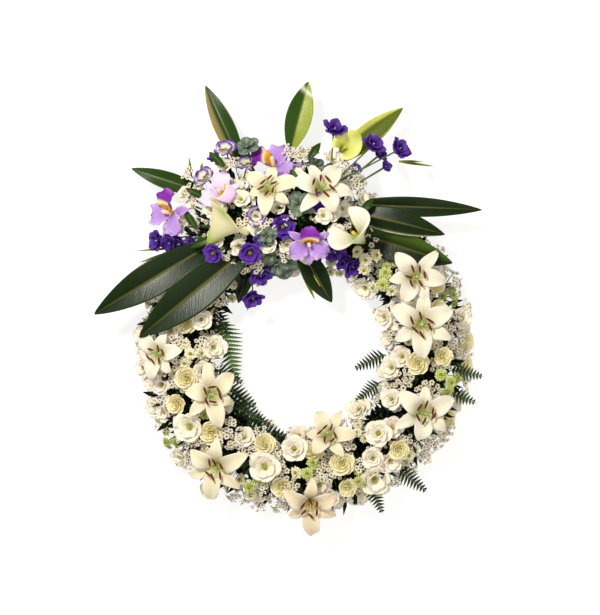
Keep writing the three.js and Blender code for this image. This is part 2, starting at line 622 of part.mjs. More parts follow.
const RING_BLOOMS = [
  ["lily_ring_1", "lily", [{ clock: 182, out: 62, spin: 10, size: 0.72 }]],
  ["lily_ring_2", "lily", [{ clock: 206, out: -37, spin: 40, size: 0.82 }]],
  ["lily_ring_3", "lily", [{ clock: 233, out: 64, spin: 20, size: 0.8 }]],
  ["lily_ring_4", "lily", [{ clock: 272, out: 82, spin: 30, size: 0.8 }]],
  ["lily_ring_5", "lily", [{ clock: 285, out: -70, spin: 0, size: 0.74 }]],
  ["lily_ring_6", "lily", [{ clock: 332, out: 32, spin: 25, size: 0.84 }]],
  ["lily_ring_7", "lily", [{ clock: 12, out: -3, spin: 30, size: 0.9 }]],
  ["lily_ring_8", "lily", [{ clock: 33, out: 24, spin: 0, size: 0.82 }]],
  ["rose_1", "rose", [{ clock: 194, out: 5, size: 0.68 }, { clock: 203, out: 47, spin: 25, size: 0.6 }]],
  ["rose_2", "rose", [{ clock: 247, out: -41, spin: 20, size: 0.64 }]],
  ["rose_3", "rose", [{ clock: 288, out: 0, spin: 40, size: 0.74 }, { clock: 287, out: 58, spin: 15, size: 0.56 }]],
  ["rose_4", "rose", [{ clock: 313, out: 41, spin: 10, size: 0.6 }]],
  ["rose_5", "rose", [{ clock: 353, out: -16, spin: 30, size: 0.68 }, { clock: 357, out: 42, spin: 10, size: 0.56 }]],
  ["rose_6", "rose", [{ clock: 26, out: 60, spin: 50, size: 0.54 }]],
  ["lisianthus_white_1", "lisianthus", [{ clock: 179, out: -66, size: 0.72 }, { clock: 164, out: -28, spin: 30, size: 0.62 }]],
  ["lisianthus_white_2", "lisianthus", [
    { clock: 214, out: 46, size: 0.85 },
    { clock: 201, out: 98, spin: 40, size: 0.6 },
    { clock: 221, out: 108, spin: 20, size: 0.58 },
  ]],
  ["lisianthus_white_3", "lisianthus", [{ clock: 251, out: 10, size: 0.88 }, { clock: 264, out: -46, spin: 20, size: 0.76 }]],
  ["lisianthus_white_4", "lisianthus", [{ clock: 311, out: -20, size: 0.76 }, { clock: 312, out: -90, spin: 30, size: 0.74 }]],
  ["lisianthus_white_5", "lisianthus", [{ clock: 298, out: 67, spin: 15, size: 0.84 }]],
  ["lisianthus_white_6", "lisianthus", [
    { clock: 330, out: -46, size: 0.62 },
    { clock: 348, out: -74, spin: 35, size: 0.64 },
    { clock: 22, out: -80, spin: 15, size: 0.6 },
  ]],
  ["lisianthus_white_7", "lisianthus", [{ clock: 11, out: 94, spin: 10, size: 0.68 }]],
];

const CREST_SPRAYS = [
  ["lisianthus_violet_1", "lisianthus", [
    { x: -180, y: 440, size: 0.64 },
    { x: -134, y: 409, spin: 30, size: 0.62 },
    { x: -230, y: 378, spin: 10, size: 0.62 },
  ]],
  ["lisianthus_violet_2", "lisianthus", [{ x: -48, y: 266, size: 0.66 }, { x: -106, y: 290, spin: 30, size: 0.58 }]],
  ["lisianthus_violet_3", "lisianthus", [{ x: -196, y: 216, spin: 10, size: 0.56 }, { x: -112, y: 216, spin: 50, size: 0.62 }]],
  ["gladiolus_left", "gladiolus", [{ x: -322, y: 234, size: 0.85 }, { x: -274, y: 226, spin: 20, size: 0.85 }]],
  ["gladiolus_low_left", "gladiolus", [{ x: -97, y: 160, size: 0.85 }, { x: -114, y: 110, spin: 30, size: 0.85 }]],
  ["gladiolus_low_right", "gladiolus", [{ x: 66, y: 212, size: 0.85 }, { x: 106, y: 180, spin: 30, size: 0.85 }]],
  ["filler_crest", "filler", [{ x: 112, y: 376 }]],
  ["eucalyptus_crest", "eucalyptus", [{ x: -46, y: 168 }, { x: -80, y: 196, spin: 20, size: 0.75 }]],
];

const RING_SPRAYS = [
  ["santini_1", "santini", [{ clock: 185, out: -15 }]],
  ["santini_2", "santini", [{ clock: 248, out: 60, spin: 30 }]],
  ["santini_3", "santini", [{ clock: 271, out: 8, spin: 60 }]],
  ["santini_4", "santini", [{ clock: 347, out: 62, spin: 20 }]],
  ["santini_5", "santini", [{ clock: 41, out: -42, spin: 80 }, { clock: 57, out: -26, spin: 20 }]],
  ["filler_1", "filler", [{ clock: 227, out: -12 }]],
  ["filler_2", "filler", [{ clock: 261, out: 84, spin: 20 }, { clock: 245, out: 96 }]],
  ["filler_3", "filler", [{ clock: 2, out: 60, spin: 40 }, { clock: 24, out: 100 }]],
  ["filler_4", "filler", [{ clock: 322, out: 80, spin: 60 }, { clock: 306, out: 88 }]],
];

// Planting order: the blooms that show most take their places first.
const COLOURS = { gladiolus: "violet" };
function plantList(list, bed) {
  list.forEach(([name, kind, blooms]) => {
    const placed = bed === ringBed ? blooms.map(onRing) : blooms;
    const material = name.includes("violet") ? "violet" : COLOURS[kind] ?? kind;
    plantBlooms(name, finishes[material], bed, KINDS[kind], placed);
  });
}

for (const [side, fan] of Object.entries(STRAP_FANS)) {
  const leaves = fan.map((leaf) => {
    const inward = new THREE.Vector3(...leaf.tip).sub(new THREE.Vector3(...leaf.root)).normalize();
    return { ...leaf, inward, body: strapLeaf(leaf) };
  });
  const roots = leaves.map((leaf) => new THREE.Vector3(...leaf.root));
  const middle = roots.reduce((sum, root) => sum.add(root), new THREE.Vector3()).divideScalar(roots.length);
  const core = crestBed.core(middle.x, middle.y);
  const fork = core.clone().add(middle.sub(core).setLength(crestBed.surface + 6));
  plantLeaves("strap_leaves_" + side, finishes.strap, crestBed, leaves, fork);
}
plantList(CREST_BLOOMS, crestBed);
plantList(RING_BLOOMS, ringBed);
plantList(CREST_SPRAYS, crestBed);
plantList(RING_SPRAYS, ringBed);
FERNS.forEach(({ clock, leaves }, k) => {
  const fronds = leaves.map(({ at, towards, length }) => {
    const body = fern(length).rotate([0, 0, towards]).translate([...at, FERN_HEIGHT]);
    const inward = new THREE.Vector3(Math.cos(radians(towards)), Math.sin(radians(towards)), 0);
    return { root: [...at, FERN_HEIGHT], inward, body };
  });
  const core = ringBed.core(Math.cos(radians(clock)), Math.sin(radians(clock)));
  const mean = fronds.reduce((sum, f) => sum.add(new THREE.Vector3(...f.root)), new THREE.Vector3()).divideScalar(fronds.length);
  const fork = core.clone().add(mean.sub(core).setLength(ringBed.surface + 4));
  plantLeaves("fern_" + (k + 1), finishes.fern, ringBed, fronds, fork);
});

// Assembly

function meshOf({ name, material, body }) {
  const { vertProperties, triVerts } = body.getMesh();
  const geometry = new THREE.BufferGeometry();
  geometry.setAttribute("position", new THREE.BufferAttribute(vertProperties, 3));
  geometry.setIndex(new THREE.BufferAttribute(triVerts, 1));
  geometry.computeVertexNormals();
  const mesh = new THREE.Mesh(geometry, material);
  mesh.name = name;
  return mesh;
}

const drilledRing = foamRing.subtract(fuse(holes.ring));
const drilledBlock = crestBlock.subtract(fuse(holes.crest));
const wreath = new THREE.Group();
wreath.add(
  meshOf({ name: "base_tray", material: finishes.tray, body: tray }),
  meshOf({ name: "foam_ring", material: finishes.foam, body: drilledRing }),
  meshOf({ name: "crest_foam", material: finishes.foam, body: drilledBlock }),
  ...nodes.map(meshOf),
);

// The origin is under the middle of the whole outline, on the surface that the tray rests on.
const middle = new THREE.Box3().setFromObject(wreath).getCenter(new THREE.Vector3());
wreath.position.set(-middle.x, -middle.y, 0);
const part = new THREE.Group();
part.add(wreath);

export default part;
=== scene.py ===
# %% [markdown]
# # A floral wreath
#
# A memorial wreath lies on its back, and the camera looks straight down on it. White lilies, roses,
# lisianthus, button chrysanthemums and small filler flowers stand all round a foam ring, and a crest of
# lilac orchids, callas, violet blooms and long strap leaves sits at its head. The frame already holds
# every bloom as a coarse solid. Here each one is rebuilt finely in the same place, so that petals are
# thin, waved and coloured.

import bpy
import numpy as np
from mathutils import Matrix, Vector


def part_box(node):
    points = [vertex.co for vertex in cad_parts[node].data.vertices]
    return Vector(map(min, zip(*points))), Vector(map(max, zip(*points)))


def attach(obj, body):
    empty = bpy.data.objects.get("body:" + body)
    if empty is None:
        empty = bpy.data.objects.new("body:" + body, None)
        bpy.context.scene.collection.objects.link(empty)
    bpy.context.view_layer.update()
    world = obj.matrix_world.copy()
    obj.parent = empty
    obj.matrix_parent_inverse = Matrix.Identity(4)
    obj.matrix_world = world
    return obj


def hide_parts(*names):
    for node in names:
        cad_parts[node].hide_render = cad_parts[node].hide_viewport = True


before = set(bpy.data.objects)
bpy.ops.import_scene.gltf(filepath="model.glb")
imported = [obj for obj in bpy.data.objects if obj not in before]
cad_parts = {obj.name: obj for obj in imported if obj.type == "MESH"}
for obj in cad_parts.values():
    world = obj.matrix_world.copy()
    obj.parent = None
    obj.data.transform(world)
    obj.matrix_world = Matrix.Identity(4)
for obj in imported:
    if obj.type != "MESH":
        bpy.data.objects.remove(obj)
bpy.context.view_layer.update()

rng = np.random.default_rng(12)
MM = 0.001
tray_low, tray_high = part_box("base_tray")
ring_centre = np.array([(tray_low.x + tray_high.x) / 2, (tray_low.y + tray_high.y) / 2, 0.0])
UP = np.array([0.0, 0.0, 1.0])
HEADWARD = np.array([0.0, 1.0, 0.0])
print("the ring's centre is at", ring_centre.round(4), "m")


def rgb(code):
    """The linear colour of a six-digit sRGB code: each channel to the power 2.2."""
    return np.array([int(code[i : i + 2], 16) / 255 for i in (1, 3, 5)]) ** 2.2


def mix(a, b, share):
    """Colour a where the share is 0, colour b where it is 1, and a straight blend between them."""
    share = np.clip(np.asarray(share, float), 0, 1)[..., None]
    return a * (1 - share) + b * share


def unit(vectors):
    """Each vector divided by its own length."""
    return vectors / np.linalg.norm(vectors, axis=-1, keepdims=True)


# %% [markdown]
# ## Where everything stands
#
# A florist pushes each stem towards the middle of the foam, so a bloom leans outwards with its place.
# The same rule placed the solids: a core line runs inside each foam, a head stands a given reach from
# it, and faces partly back up. Where two blooms met, the solid moved to the nearest free place, and the
# fine bloom has to find that move again.

# %% Core lines of the two foams
RING_RADIUS, RING_CORE_HEIGHT, RING_SURFACE = 264.0, 34.0, 48.0
FOAM_WIDTH, FOAM_TOP, FOAM_CROWN, FOAM_SHOULDER = 86.0, 62.0, 46.0, 40.0
TRAY_WALL, TRAY_HEIGHT, SEAT_GAP = 2.5, 18.0, 0.3
CREST_LENGTH, CREST_WIDTH, CREST_HEIGHT, CREST_SURFACE = 180.0, 84.0, 62.0, 58.0
CREST_CENTRE, CREST_TURN = np.array([-66.0, 280.0]), np.radians(12)
CREST_BASE = FOAM_TOP + SEAT_GAP
crest_axis = np.array([np.cos(CREST_TURN), np.sin(CREST_TURN)])
CORE_INSET = 24.0
STEEPEST_LEAN, FACING_SHARE, STEM_STOP = 0.98, 0.6, 13.0
HEAD_FORK, STRAP_FORK, FERN_FORK = 10.0, 6.0, 4.0


def core_of(bed, x, y):
    """The nearest point of a foam's core line: on a circle in the ring, on a straight piece in the
    crest's block."""
    if bed == "ring":
        return np.array([*(RING_RADIUS * unit(np.array([x, y]))), RING_CORE_HEIGHT])
    furthest = CREST_LENGTH / 2 - CORE_INSET
    along = np.clip((np.array([x, y]) - CREST_CENTRE) @ crest_axis, -furthest, furthest)
    return np.array([*(CREST_CENTRE + along * crest_axis), CREST_BASE + CREST_HEIGHT / 2])


def surface_of(bed):
    """How far out from its core line a foam reaches, roughly."""
    return RING_SURFACE if bed == "ring" else CREST_SURFACE


def place_over(bed, x, y, reach):
    """The lean's sine is the distance from the core line in plan over the reach. A head faces a part of
    that lean."""
    core = core_of(bed, x, y)
    aside = np.array([x - core[0], y - core[1], 0.0])
    far = np.linalg.norm(aside)
    lean = np.arcsin(min(far / reach, STEEPEST_LEAN))
    sideways = aside / max(far, 1e-9)
    outward = np.sin(lean) * sideways + np.cos(lean) * UP
    facing = np.sin(FACING_SHARE * lean) * sideways + np.cos(FACING_SHARE * lean) * UP
    return core, outward, facing, core + outward * max(reach, far / STEEPEST_LEAN)


def turn_about(vector, axis, angle):
    """A vector turned about a unit axis: the part across the axis turns, and the part along it stays."""
    return (
        vector * np.cos(angle)
        + np.cross(axis, vector) * np.sin(angle)
        + axis * (axis @ vector) * (1 - np.cos(angle))
    )


def basis_for(facing, spin):
    """Axes of a head as columns: its own up is the wreath's head before it is spun about the way it
    faces."""
    right = unit(np.cross(HEADWARD, facing))
    ahead = np.cross(facing, right)
    c, s = np.cos(np.radians(spin)), np.sin(np.radians(spin))
    return np.stack([c * right + s * ahead, c * ahead - s * right, facing], axis=1)


# %% [markdown]
# Each kind of bloom has a reach, the height of its face over its foot, how far its stem runs up inside
# it, and marks: points of the solid bloom that are its corners, such as the tip of its pistil. The list
# below is the planting plan.

# %% The planting plan
CALLA_MARKS = [(3, 0, 58), (-3, 0, 58), (0, 3, 58), (0, -3, 58)]
KINDS = {
    "lily": dict(depth=60, reach=128, sink=18, marks=[(0, 0, 82)]),
    "rose": dict(depth=40, reach=104, sink=9, marks=[(0, 0, 36)]),
    "lisianthus": dict(depth=34, reach=104, sink=11, marks=[(0, 0, 29)]),
    "santini": dict(depth=40, reach=98, sink=3, marks=[(0, 0, 54)]),
    "filler": dict(depth=34, reach=92, sink=4, marks=[(0, 0, 34)]),
    "cattleya": dict(depth=34, reach=130, sink=8, marks=[(0, 0, 44)]),
    "calla": dict(depth=56, reach=120, sink=4, marks=CALLA_MARKS),
    "gladiolus": dict(depth=28, reach=116, sink=10, marks=[(0, 0, 30)]),
    "eucalyptus": dict(depth=24, reach=104, sink=11, marks=[(0, 0, 30)]),
}


def over(x, y, spin=0, size=1.0, look=None, **more):
    """A head over a place in plan, in millimetres from the ring's centre."""
    return dict(x=x, y=y, spin=spin, size=size, look=look, **more)


def at(clock, out, *rest):
    """A head at an angle round the ring, so far out from its core line."""
    angle, far = np.radians(clock), RING_RADIUS + out
    return over(far * np.cos(angle), far * np.sin(angle), *rest)


# Each inner list is a spray, which is one piece with one or more heads, and braces take the spray's number.
PLAN = [
    ("cattleya_{}", "crest", "cattleya", [
        [over(-306, 301, 160)], [over(-187, 345, 60, 0.85, "pale")], [over(-62, 422, 280, 1.08)],
        [over(9, 227, 180, 0.88)],
    ]),
    ("lily_crest_{}", "crest", "lily", [
        [over(-81, 352, 20, 0.74, "cream", reach=138)], [over(37, 352, 50, 0.84, reach=138)],
    ]),
    ("calla_{}", "crest", "calla", [
        [over(-165, 284, 200, 1.25, "cream", tip=(40, 62))],
        [over(101, 257, 315, 1.2, tip=(150, 58), reach=150)],
        [over(84, 436, 40, 0.7, "lime", tip=(250, 30))],
    ]),
    ("lily_ring_{}", "ring", "lily", [
        [at(182, 62, 10, 0.72)], [at(206, -37, 40, 0.82, "cream")], [at(233, 64, 20, 0.8, "cream")],
        [at(272, 82, 30, 0.8, "peach")], [at(285, -70, 0, 0.74, "cream")], [at(332, 32, 25, 0.84)],
        [at(12, -3, 30, 0.9)], [at(33, 24, 0, 0.82)],
    ]),
    ("rose_{}", "ring", "rose", [
        [at(194, 5, 0, 0.68), at(203, 47, 25, 0.6)], [at(247, -41, 20, 0.64)],
        [at(288, 0, 40, 0.74), at(287, 58, 15, 0.56)], [at(313, 41, 10, 0.6)],
        [at(353, -16, 30, 0.68), at(357, 42, 10, 0.56)], [at(26, 60, 50, 0.54)],
    ]),
    ("lisianthus_white_{}", "ring", "lisianthus", [
        [at(179, -66, 0, 0.72), at(164, -28, 30, 0.62)],
        [at(214, 46, 0, 0.85, "open"), at(201, 98, 40, 0.6), at(221, 108, 20, 0.58)],
        [at(251, 10, 0, 0.88, "open"), at(264, -46, 20, 0.76)],
        [at(311, -20, 0, 0.76), at(312, -90, 30, 0.74)], [at(298, 67, 15, 0.84, "open")],
        [at(330, -46, 0, 0.62), at(348, -74, 35, 0.64, "open"), at(22, -80, 15, 0.6)],
        [at(11, 94, 10, 0.68)],
    ]),
    ("lisianthus_violet_{}", "crest", "lisianthus", [
        [
            over(-180, 440, 0, 0.64, "picotee"),
            over(-134, 409, 30, 0.62, "picotee"),
            over(-230, 378, 10, 0.62, "picotee"),
        ],
        [over(-48, 266, 0, 0.66, "dark"), over(-106, 290, 30, 0.58, "picotee")],
        [over(-196, 216, 10, 0.56, "dark"), over(-112, 216, 50, 0.62, "dark")],
    ]),
    ("gladiolus_left", "crest", "gladiolus", [[over(-322, 234, 0, 0.85), over(-274, 226, 20, 0.85)]]),
    ("gladiolus_right", "crest", "gladiolus", [
        [over(53, 469, 0, 0.9), over(138, 435, 20, 0.9), over(196, 425, 40, 0.9)],
    ]),
    ("gladiolus_low_left", "crest", "gladiolus", [[over(-97, 160, 0, 0.85), over(-114, 110, 30, 0.85)]]),
    ("gladiolus_low_right", "crest", "gladiolus", [[over(66, 212, 0, 0.85), over(106, 180, 30, 0.85)]]),
    ("filler_crest", "crest", "filler", [[over(112, 376)]]),
    ("eucalyptus_crest", "crest", "eucalyptus", [[over(-46, 168), over(-80, 196, 20, 0.75)]]),
    ("santini_{}", "ring", "santini", [
        [at(185, -15, 0, 1, "cream")], [at(248, 60, 30)], [at(271, 8, 60)], [at(347, 62, 20, 1, "lime")],
        [at(41, -42, 80), at(57, -26, 20, 1, "cream")],
    ]),
    ("filler_{}", "ring", "filler", [
        [at(227, -12)], [at(261, 84, 20), at(245, 96)], [at(2, 60, 40), at(24, 100)],
        [at(322, 80, 60), at(306, 88)],
    ]),
]

# %% [markdown]
# The moves are the same short list that the solids tried: a few steps across the wreath in ten
# directions, and a few steps outwards. The right one brings a bloom's marks onto corners of its own
# solid.

# %% Find how far each solid moved
SHIFTS = np.array([0, 6, 12, 18, 25, 33])
LIFTS = np.array([0, 7, 14, 22, 30, 40])
SHIFT_WAYS, FARTHEST_MARK = 10, 2.5


def corners_of(node):
    """All corners of a CAD node, in millimetres from the ring's centre."""
    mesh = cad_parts[node].data
    flat = np.empty(3 * len(mesh.vertices))
    mesh.vertices.foreach_get("co", flat)
    return (flat.reshape(-1, 3) - ring_centre) / MM


def move_of(node, bed, fork, marks):
    """Of every shift and lift that was open to the solid, the one whose marks lie nearest to the solid's
    corners."""
    away = unit(unit(fork - core_of(bed, fork[0], fork[1])) + UP)
    angles = 2 * np.pi * np.arange(SHIFT_WAYS) / SHIFT_WAYS
    plan = np.stack([np.cos(angles), np.sin(angles), 0 * angles], axis=1)
    steps = SHIFTS[:, None, None, None] * plan[None, :, None, :]
    tries = (steps + LIFTS[None, None, :, None] * away).reshape(-1, 3)
    apart = marks[None, :, None, :] + tries[:, None, None, :] - corners_of(node)[None, None, :, :]
    gaps = np.linalg.norm(apart, axis=-1).min(-1).mean(-1)
    best = int(gaps.argmin())
    if gaps[best] > FARTHEST_MARK:
        print("  ", node, "isn't where the plan puts it:", round(float(gaps[best]), 2), "mm off")
    return tries[best]


def stood_heads(node, bed, kind_name, heads):
    """Each head's basis, foot and stem end, all moved as the solid moved, and the fork that its branches
    leave from."""
    kind = KINDS[kind_name]
    placed = []
    for head in heads:
        size = head["size"]
        core, outward, facing, face = place_over(bed, head["x"], head["y"], head.get("reach", kind["reach"]))
        if "tip" in head:
            towards, by = np.radians(head["tip"])
            facing = turn_about(facing, np.cross(UP, [np.cos(towards), np.sin(towards), 0.0]), by)
        foot = face - facing * kind["depth"] * size
        basis = basis_for(facing, head["spin"]) * size
        end = foot + facing * kind["sink"] * size
        placed.append(dict(foot=foot, basis=basis, end=end, size=size, look=head["look"]))
    if len(placed) == 1:
        fork = placed[0]["end"]
    else:
        middle = np.mean([head["foot"] for head in placed], axis=0)
        core, outward, facing, face = place_over(bed, middle[0], middle[1], kind["reach"])
        fork = core + outward * (surface_of(bed) + HEAD_FORK)
    marks = np.concatenate([np.array(kind["marks"], float) @ h["basis"].T + h["foot"] for h in placed])
    move = move_of(node, bed, fork, marks)
    for head in placed:
        head["foot"] = head["foot"] + move
        head["end"] = head["end"] + move
    return placed, fork + move


# %% [markdown]
# ## Thin things as arrays
#
# Every petal and leaf is a grid of points over a length u and a width v, given a back a fraction of a
# millimetre behind its face so that it is a closed blade. Stems and anthers are tubes. A soup gathers
# the arrays of one piece.

# %% Soup, sheets and tubes
class Soup:
    """One piece in the making: its points, colours, leaf coordinates and faces, as lists of whole
    arrays."""

    def __init__(self):
        self.points, self.tints, self.spots, self.faces, self.skins = [], [], [], [], []
        self.count = 0
        self.stand(np.eye(3), np.zeros(3))

    def stand(self, basis, origin):
        """What is added next is turned by this basis and moved to this origin."""
        self.basis, self.origin = basis, origin

    def add(self, points, faces, tint, spots=None, skin=0):
        """Adds points of shape (n, 3) with faces that index them, one colour each, and a material
        number."""
        points = np.asarray(points, float).reshape(-1, 3)
        self.points.append(points @ self.basis.T + self.origin)
        self.tints.append(np.broadcast_to(tint, points.shape))
        self.spots.append(np.zeros(points.shape) if spots is None else np.broadcast_to(spots, points.shape))
        for block in faces:
            self.faces.append(block + self.count)
            self.skins.append(np.full(len(block), skin))
        self.count += len(points)


def sheet_faces(rows, cols):
    """Quads of one closed blade: its face, its back in reverse, and a wall round the rim."""
    grid = np.arange(rows * cols).reshape(rows, cols)
    a, b, c, d = grid[:-1, :-1], grid[1:, :-1], grid[1:, 1:], grid[:-1, 1:]
    back = rows * cols
    blocks = [np.stack([a, b, c, d], -1).reshape(-1, 4), np.stack([a, d, c, b], -1).reshape(-1, 4) + back]
    for rim in (grid[:, 0], grid[-1, :], grid[::-1, -1], grid[0, ::-1]):
        blocks.append(np.stack([rim[:-1] + back, rim[1:] + back, rim[1:], rim[:-1]], -1))
    return np.concatenate(blocks)


def add_sheets(soup, grid, tint, thick=0.7, skin=0, feather=0.0):
    """Adds blades of shape (n, rows, cols, 3). The back lies along the surface normal, which is the
    cross product of the lengthways and crossways differences, and comes closer to the face near the rim.
    Feather slants the lengthways coordinate towards the rim, for veins that leave a midrib."""
    n, rows, cols, _ = grid.shape
    normal = np.cross(np.gradient(grid, axis=1), np.gradient(grid, axis=2))
    normal = normal / np.maximum(np.linalg.norm(normal, axis=-1, keepdims=True), 1e-9)
    v = np.linspace(-1, 1, cols)[None, None, :, None]
    back = grid - normal * thick * (1 - 0.7 * v**4)
    points = np.stack([grid, back], axis=1).reshape(-1, 3)
    tint = np.broadcast_to(tint, grid.shape)
    colours = np.stack([tint, tint], axis=1).reshape(-1, 3)
    ident = rng.random(n)
    spot = np.zeros((n, 2, rows, cols, 3))
    spot[..., 1] = np.linspace(-1, 1, cols)[None, None, None, :]
    spot[..., 0] = np.linspace(0, 1, rows)[None, None, :, None] - feather * np.abs(spot[..., 1])
    spot[..., 2] = ident[:, None, None, None]
    one = sheet_faces(rows, cols)
    faces = (one[None] + (2 * rows * cols * np.arange(n))[:, None, None]).reshape(-1, 4)
    soup.add(points, [faces], colours, spot.reshape(-1, 3), skin)


def add_tube(soup, path, radii, tint, sides=8, skin=0):
    """A round tube along a path of points, closed at both ends by fans. Its rings lie across the path's
    direction."""
    path, radii = np.asarray(path, float), np.asarray(radii, float)
    along = unit(np.gradient(path, axis=0))
    helper = np.array([1.0, 0.0, 0.0]) if abs(along[0, 2]) > 0.9 else UP
    side = unit(np.cross(helper, along))
    other = np.cross(along, side)
    angle = 2 * np.pi * np.arange(sides) / sides
    ring = side[:, None] * np.cos(angle)[None, :, None] + other[:, None] * np.sin(angle)[None, :, None]
    points = path[:, None] + ring * radii[:, None, None]
    k = len(path)
    grid = np.arange(k * sides).reshape(k, sides)
    nxt = np.roll(grid, -1, axis=1)
    walls = np.stack([grid[:-1], nxt[:-1], nxt[1:], grid[1:]], -1).reshape(-1, 4)
    start, end = k * sides, k * sides + 1
    caps = np.concatenate(
        [
            np.stack([np.full(sides, start), nxt[0], grid[0]], -1),
            np.stack([np.full(sides, end), grid[-1], nxt[-1]], -1),
        ]
    )
    points = np.concatenate([points.reshape(-1, 3), path[:1], path[-1:]])
    tint = np.asarray(tint, float)
    if tint.ndim == 2:
        tint = np.concatenate([np.repeat(tint, sides, axis=0), tint[:1], tint[-1:]])
    soup.add(points, [walls, caps], tint, None, skin)


def upright(*heights):
    """Points on a bloom's own axis, at the given heights."""
    return [(0, 0, height) for height in heights]


# %% Petals and whorls
def cubic(points, u):
    """A cubic curve through two end points, pulled by the two between them."""
    p = np.asarray(points, float)
    u = np.asarray(u, float)[..., None]
    return (1 - u) ** 3 * p[0] + 3 * u * (1 - u) ** 2 * p[1] + 3 * u**2 * (1 - u) * p[2] + u**3 * p[3]


def petals(curve, width, n=1, rows=10, cols=7, root_half=3.0, fullness=1.0, blunt=0.75, **shape):
    """Petals of shape (n, rows, cols, 3), each along +X. The midline is a cubic in the (outward, upward)
    plane. Half the width is the width times a sine of u, to the power of bluntness. Each point is lifted
    off the midline, along its normal, by a cup that grows as v squared, a lap that raises one edge, a
    crease down the middle, a ruffle whose waves grow towards the edge, and a frill at the end. Petals
    differ a little in length, nod and sideways sway."""
    u = np.linspace(0, 1, rows)[None, :, None]
    v = np.linspace(-1, 1, cols)[None, None, :]
    phase = rng.uniform(0, 2 * np.pi, (n, 1, 1))
    uneven = shape.get("uneven", 0.04)
    stretch = 1 + uneven * rng.normal(size=(n, 1, 1))
    nod = 40 * uneven * np.cos(phase) * u
    middle = cubic(curve, u[0, :, 0])
    tangent = unit(np.gradient(middle, axis=0))
    half = root_half * (1 - u) ** 2 + width * np.sin(np.pi * (0.02 + 0.965 * u**fullness)) ** blunt
    lift = half * (shape.get("cup", 0) * v**2 + shape.get("lap", 0) * v * u)
    lift = lift - shape.get("crease", 0) * np.exp(-((v / 0.18) ** 2)) * np.sin(np.pi * u)
    wave = np.sin(2 * np.pi * shape.get("waves", 2.5) * u + phase + 2 * np.sign(v))
    lift = lift + shape.get("ruffle", 0) * wave * np.abs(v) ** 3 * np.sqrt(u)
    end = np.sin(np.pi * shape.get("frills", 3) * v + phase)
    lift = lift + shape.get("frill", 0) * end * u**4
    x = (middle[None, :, None, 0] - middle[0, 0]) * stretch + middle[0, 0] - tangent[None, :, None, 1] * lift
    z = middle[None, :, None, 1] + tangent[None, :, None, 0] * lift + nod
    y = v * half + 0 * lift + shape.get("sway", 0) * np.cos(2 * phase) * u**2
    return np.stack(np.broadcast_arrays(x, y, z), axis=-1)


def spread(grid, degrees):
    """Each petal of the array turned about the bloom's own axis by its own angle."""
    a = np.radians(np.asarray(degrees, float))[:, None, None]
    x, y = grid[..., 0], grid[..., 1]
    return np.stack([x * np.cos(a) - y * np.sin(a), x * np.sin(a) + y * np.cos(a), grid[..., 2]], axis=-1)


def uv_of(grid):
    """The length and width coordinates of every point of an array of blades."""
    n, rows, cols, _ = grid.shape
    u = np.broadcast_to(np.linspace(0, 1, rows)[None, :, None], (n, rows, cols))
    v = np.broadcast_to(np.linspace(-1, 1, cols)[None, None, :], (n, rows, cols))
    return u, v


def whorl(soup, count, start, colour, thick=0.7, skin=0, **form):
    """A ring of petals at even angles with a little scatter. The colour is a function of u and v."""
    grid = petals(n=count, **form)
    angles = start + 360 * np.arange(count) / count + rng.normal(0, 2.5, count)
    u, v = uv_of(grid)
    add_sheets(soup, spread(grid, angles), colour(u, v), thick, skin)


# %% [markdown]
# ## Materials
#
# Petals are soft and slightly rough, with fine veins that run from root to tip. Strap leaves are waxy
# and glossy with a paler midrib. Colour comes from each piece's own points, and the materials add veins,
# mottling and gloss.

# %% Materials
BLADES_APART, BLOTCHES_A_METRE, VEIN_RELIEF = 40.0, 45.0, 0.6 * MM


def plain_material(name, roughness, colour=None):
    """A material with one Principled shader, whose colour is given or left to be wired."""
    material = bpy.data.materials.new(name)
    material.use_nodes = True
    shader = material.node_tree.nodes["Principled BSDF"]
    shader.inputs["Roughness"].default_value = roughness
    if colour is not None:
        shader.inputs["Base Color"].default_value = (*colour, 1.0)
    return material, material.node_tree.nodes, material.node_tree.links, shader


def read_attribute(nodes, name):
    """A node that reads one of the values which a piece's points carry."""
    reader = nodes.new("ShaderNodeAttribute")
    reader.attribute_name = name
    return reader


def noise(nodes, links, vector, scale, detail):
    """Noise over a vector, from 0 to 1."""
    grain = nodes.new("ShaderNodeTexNoise")
    grain.inputs["Scale"].default_value = scale
    grain.inputs["Detail"].default_value = detail
    links.new(vector, grain.inputs["Vector"])
    return grain.outputs["Fac"]


def around_one(nodes, links, value, below, above):
    """A value from 0 to 1, stretched to run from 1 less one share to 1 and another."""
    stretch = nodes.new("ShaderNodeMapRange")
    stretch.inputs["To Min"].default_value = 1 - below
    stretch.inputs["To Max"].default_value = 1 + above
    links.new(value, stretch.inputs["Value"])
    return stretch.outputs["Result"]


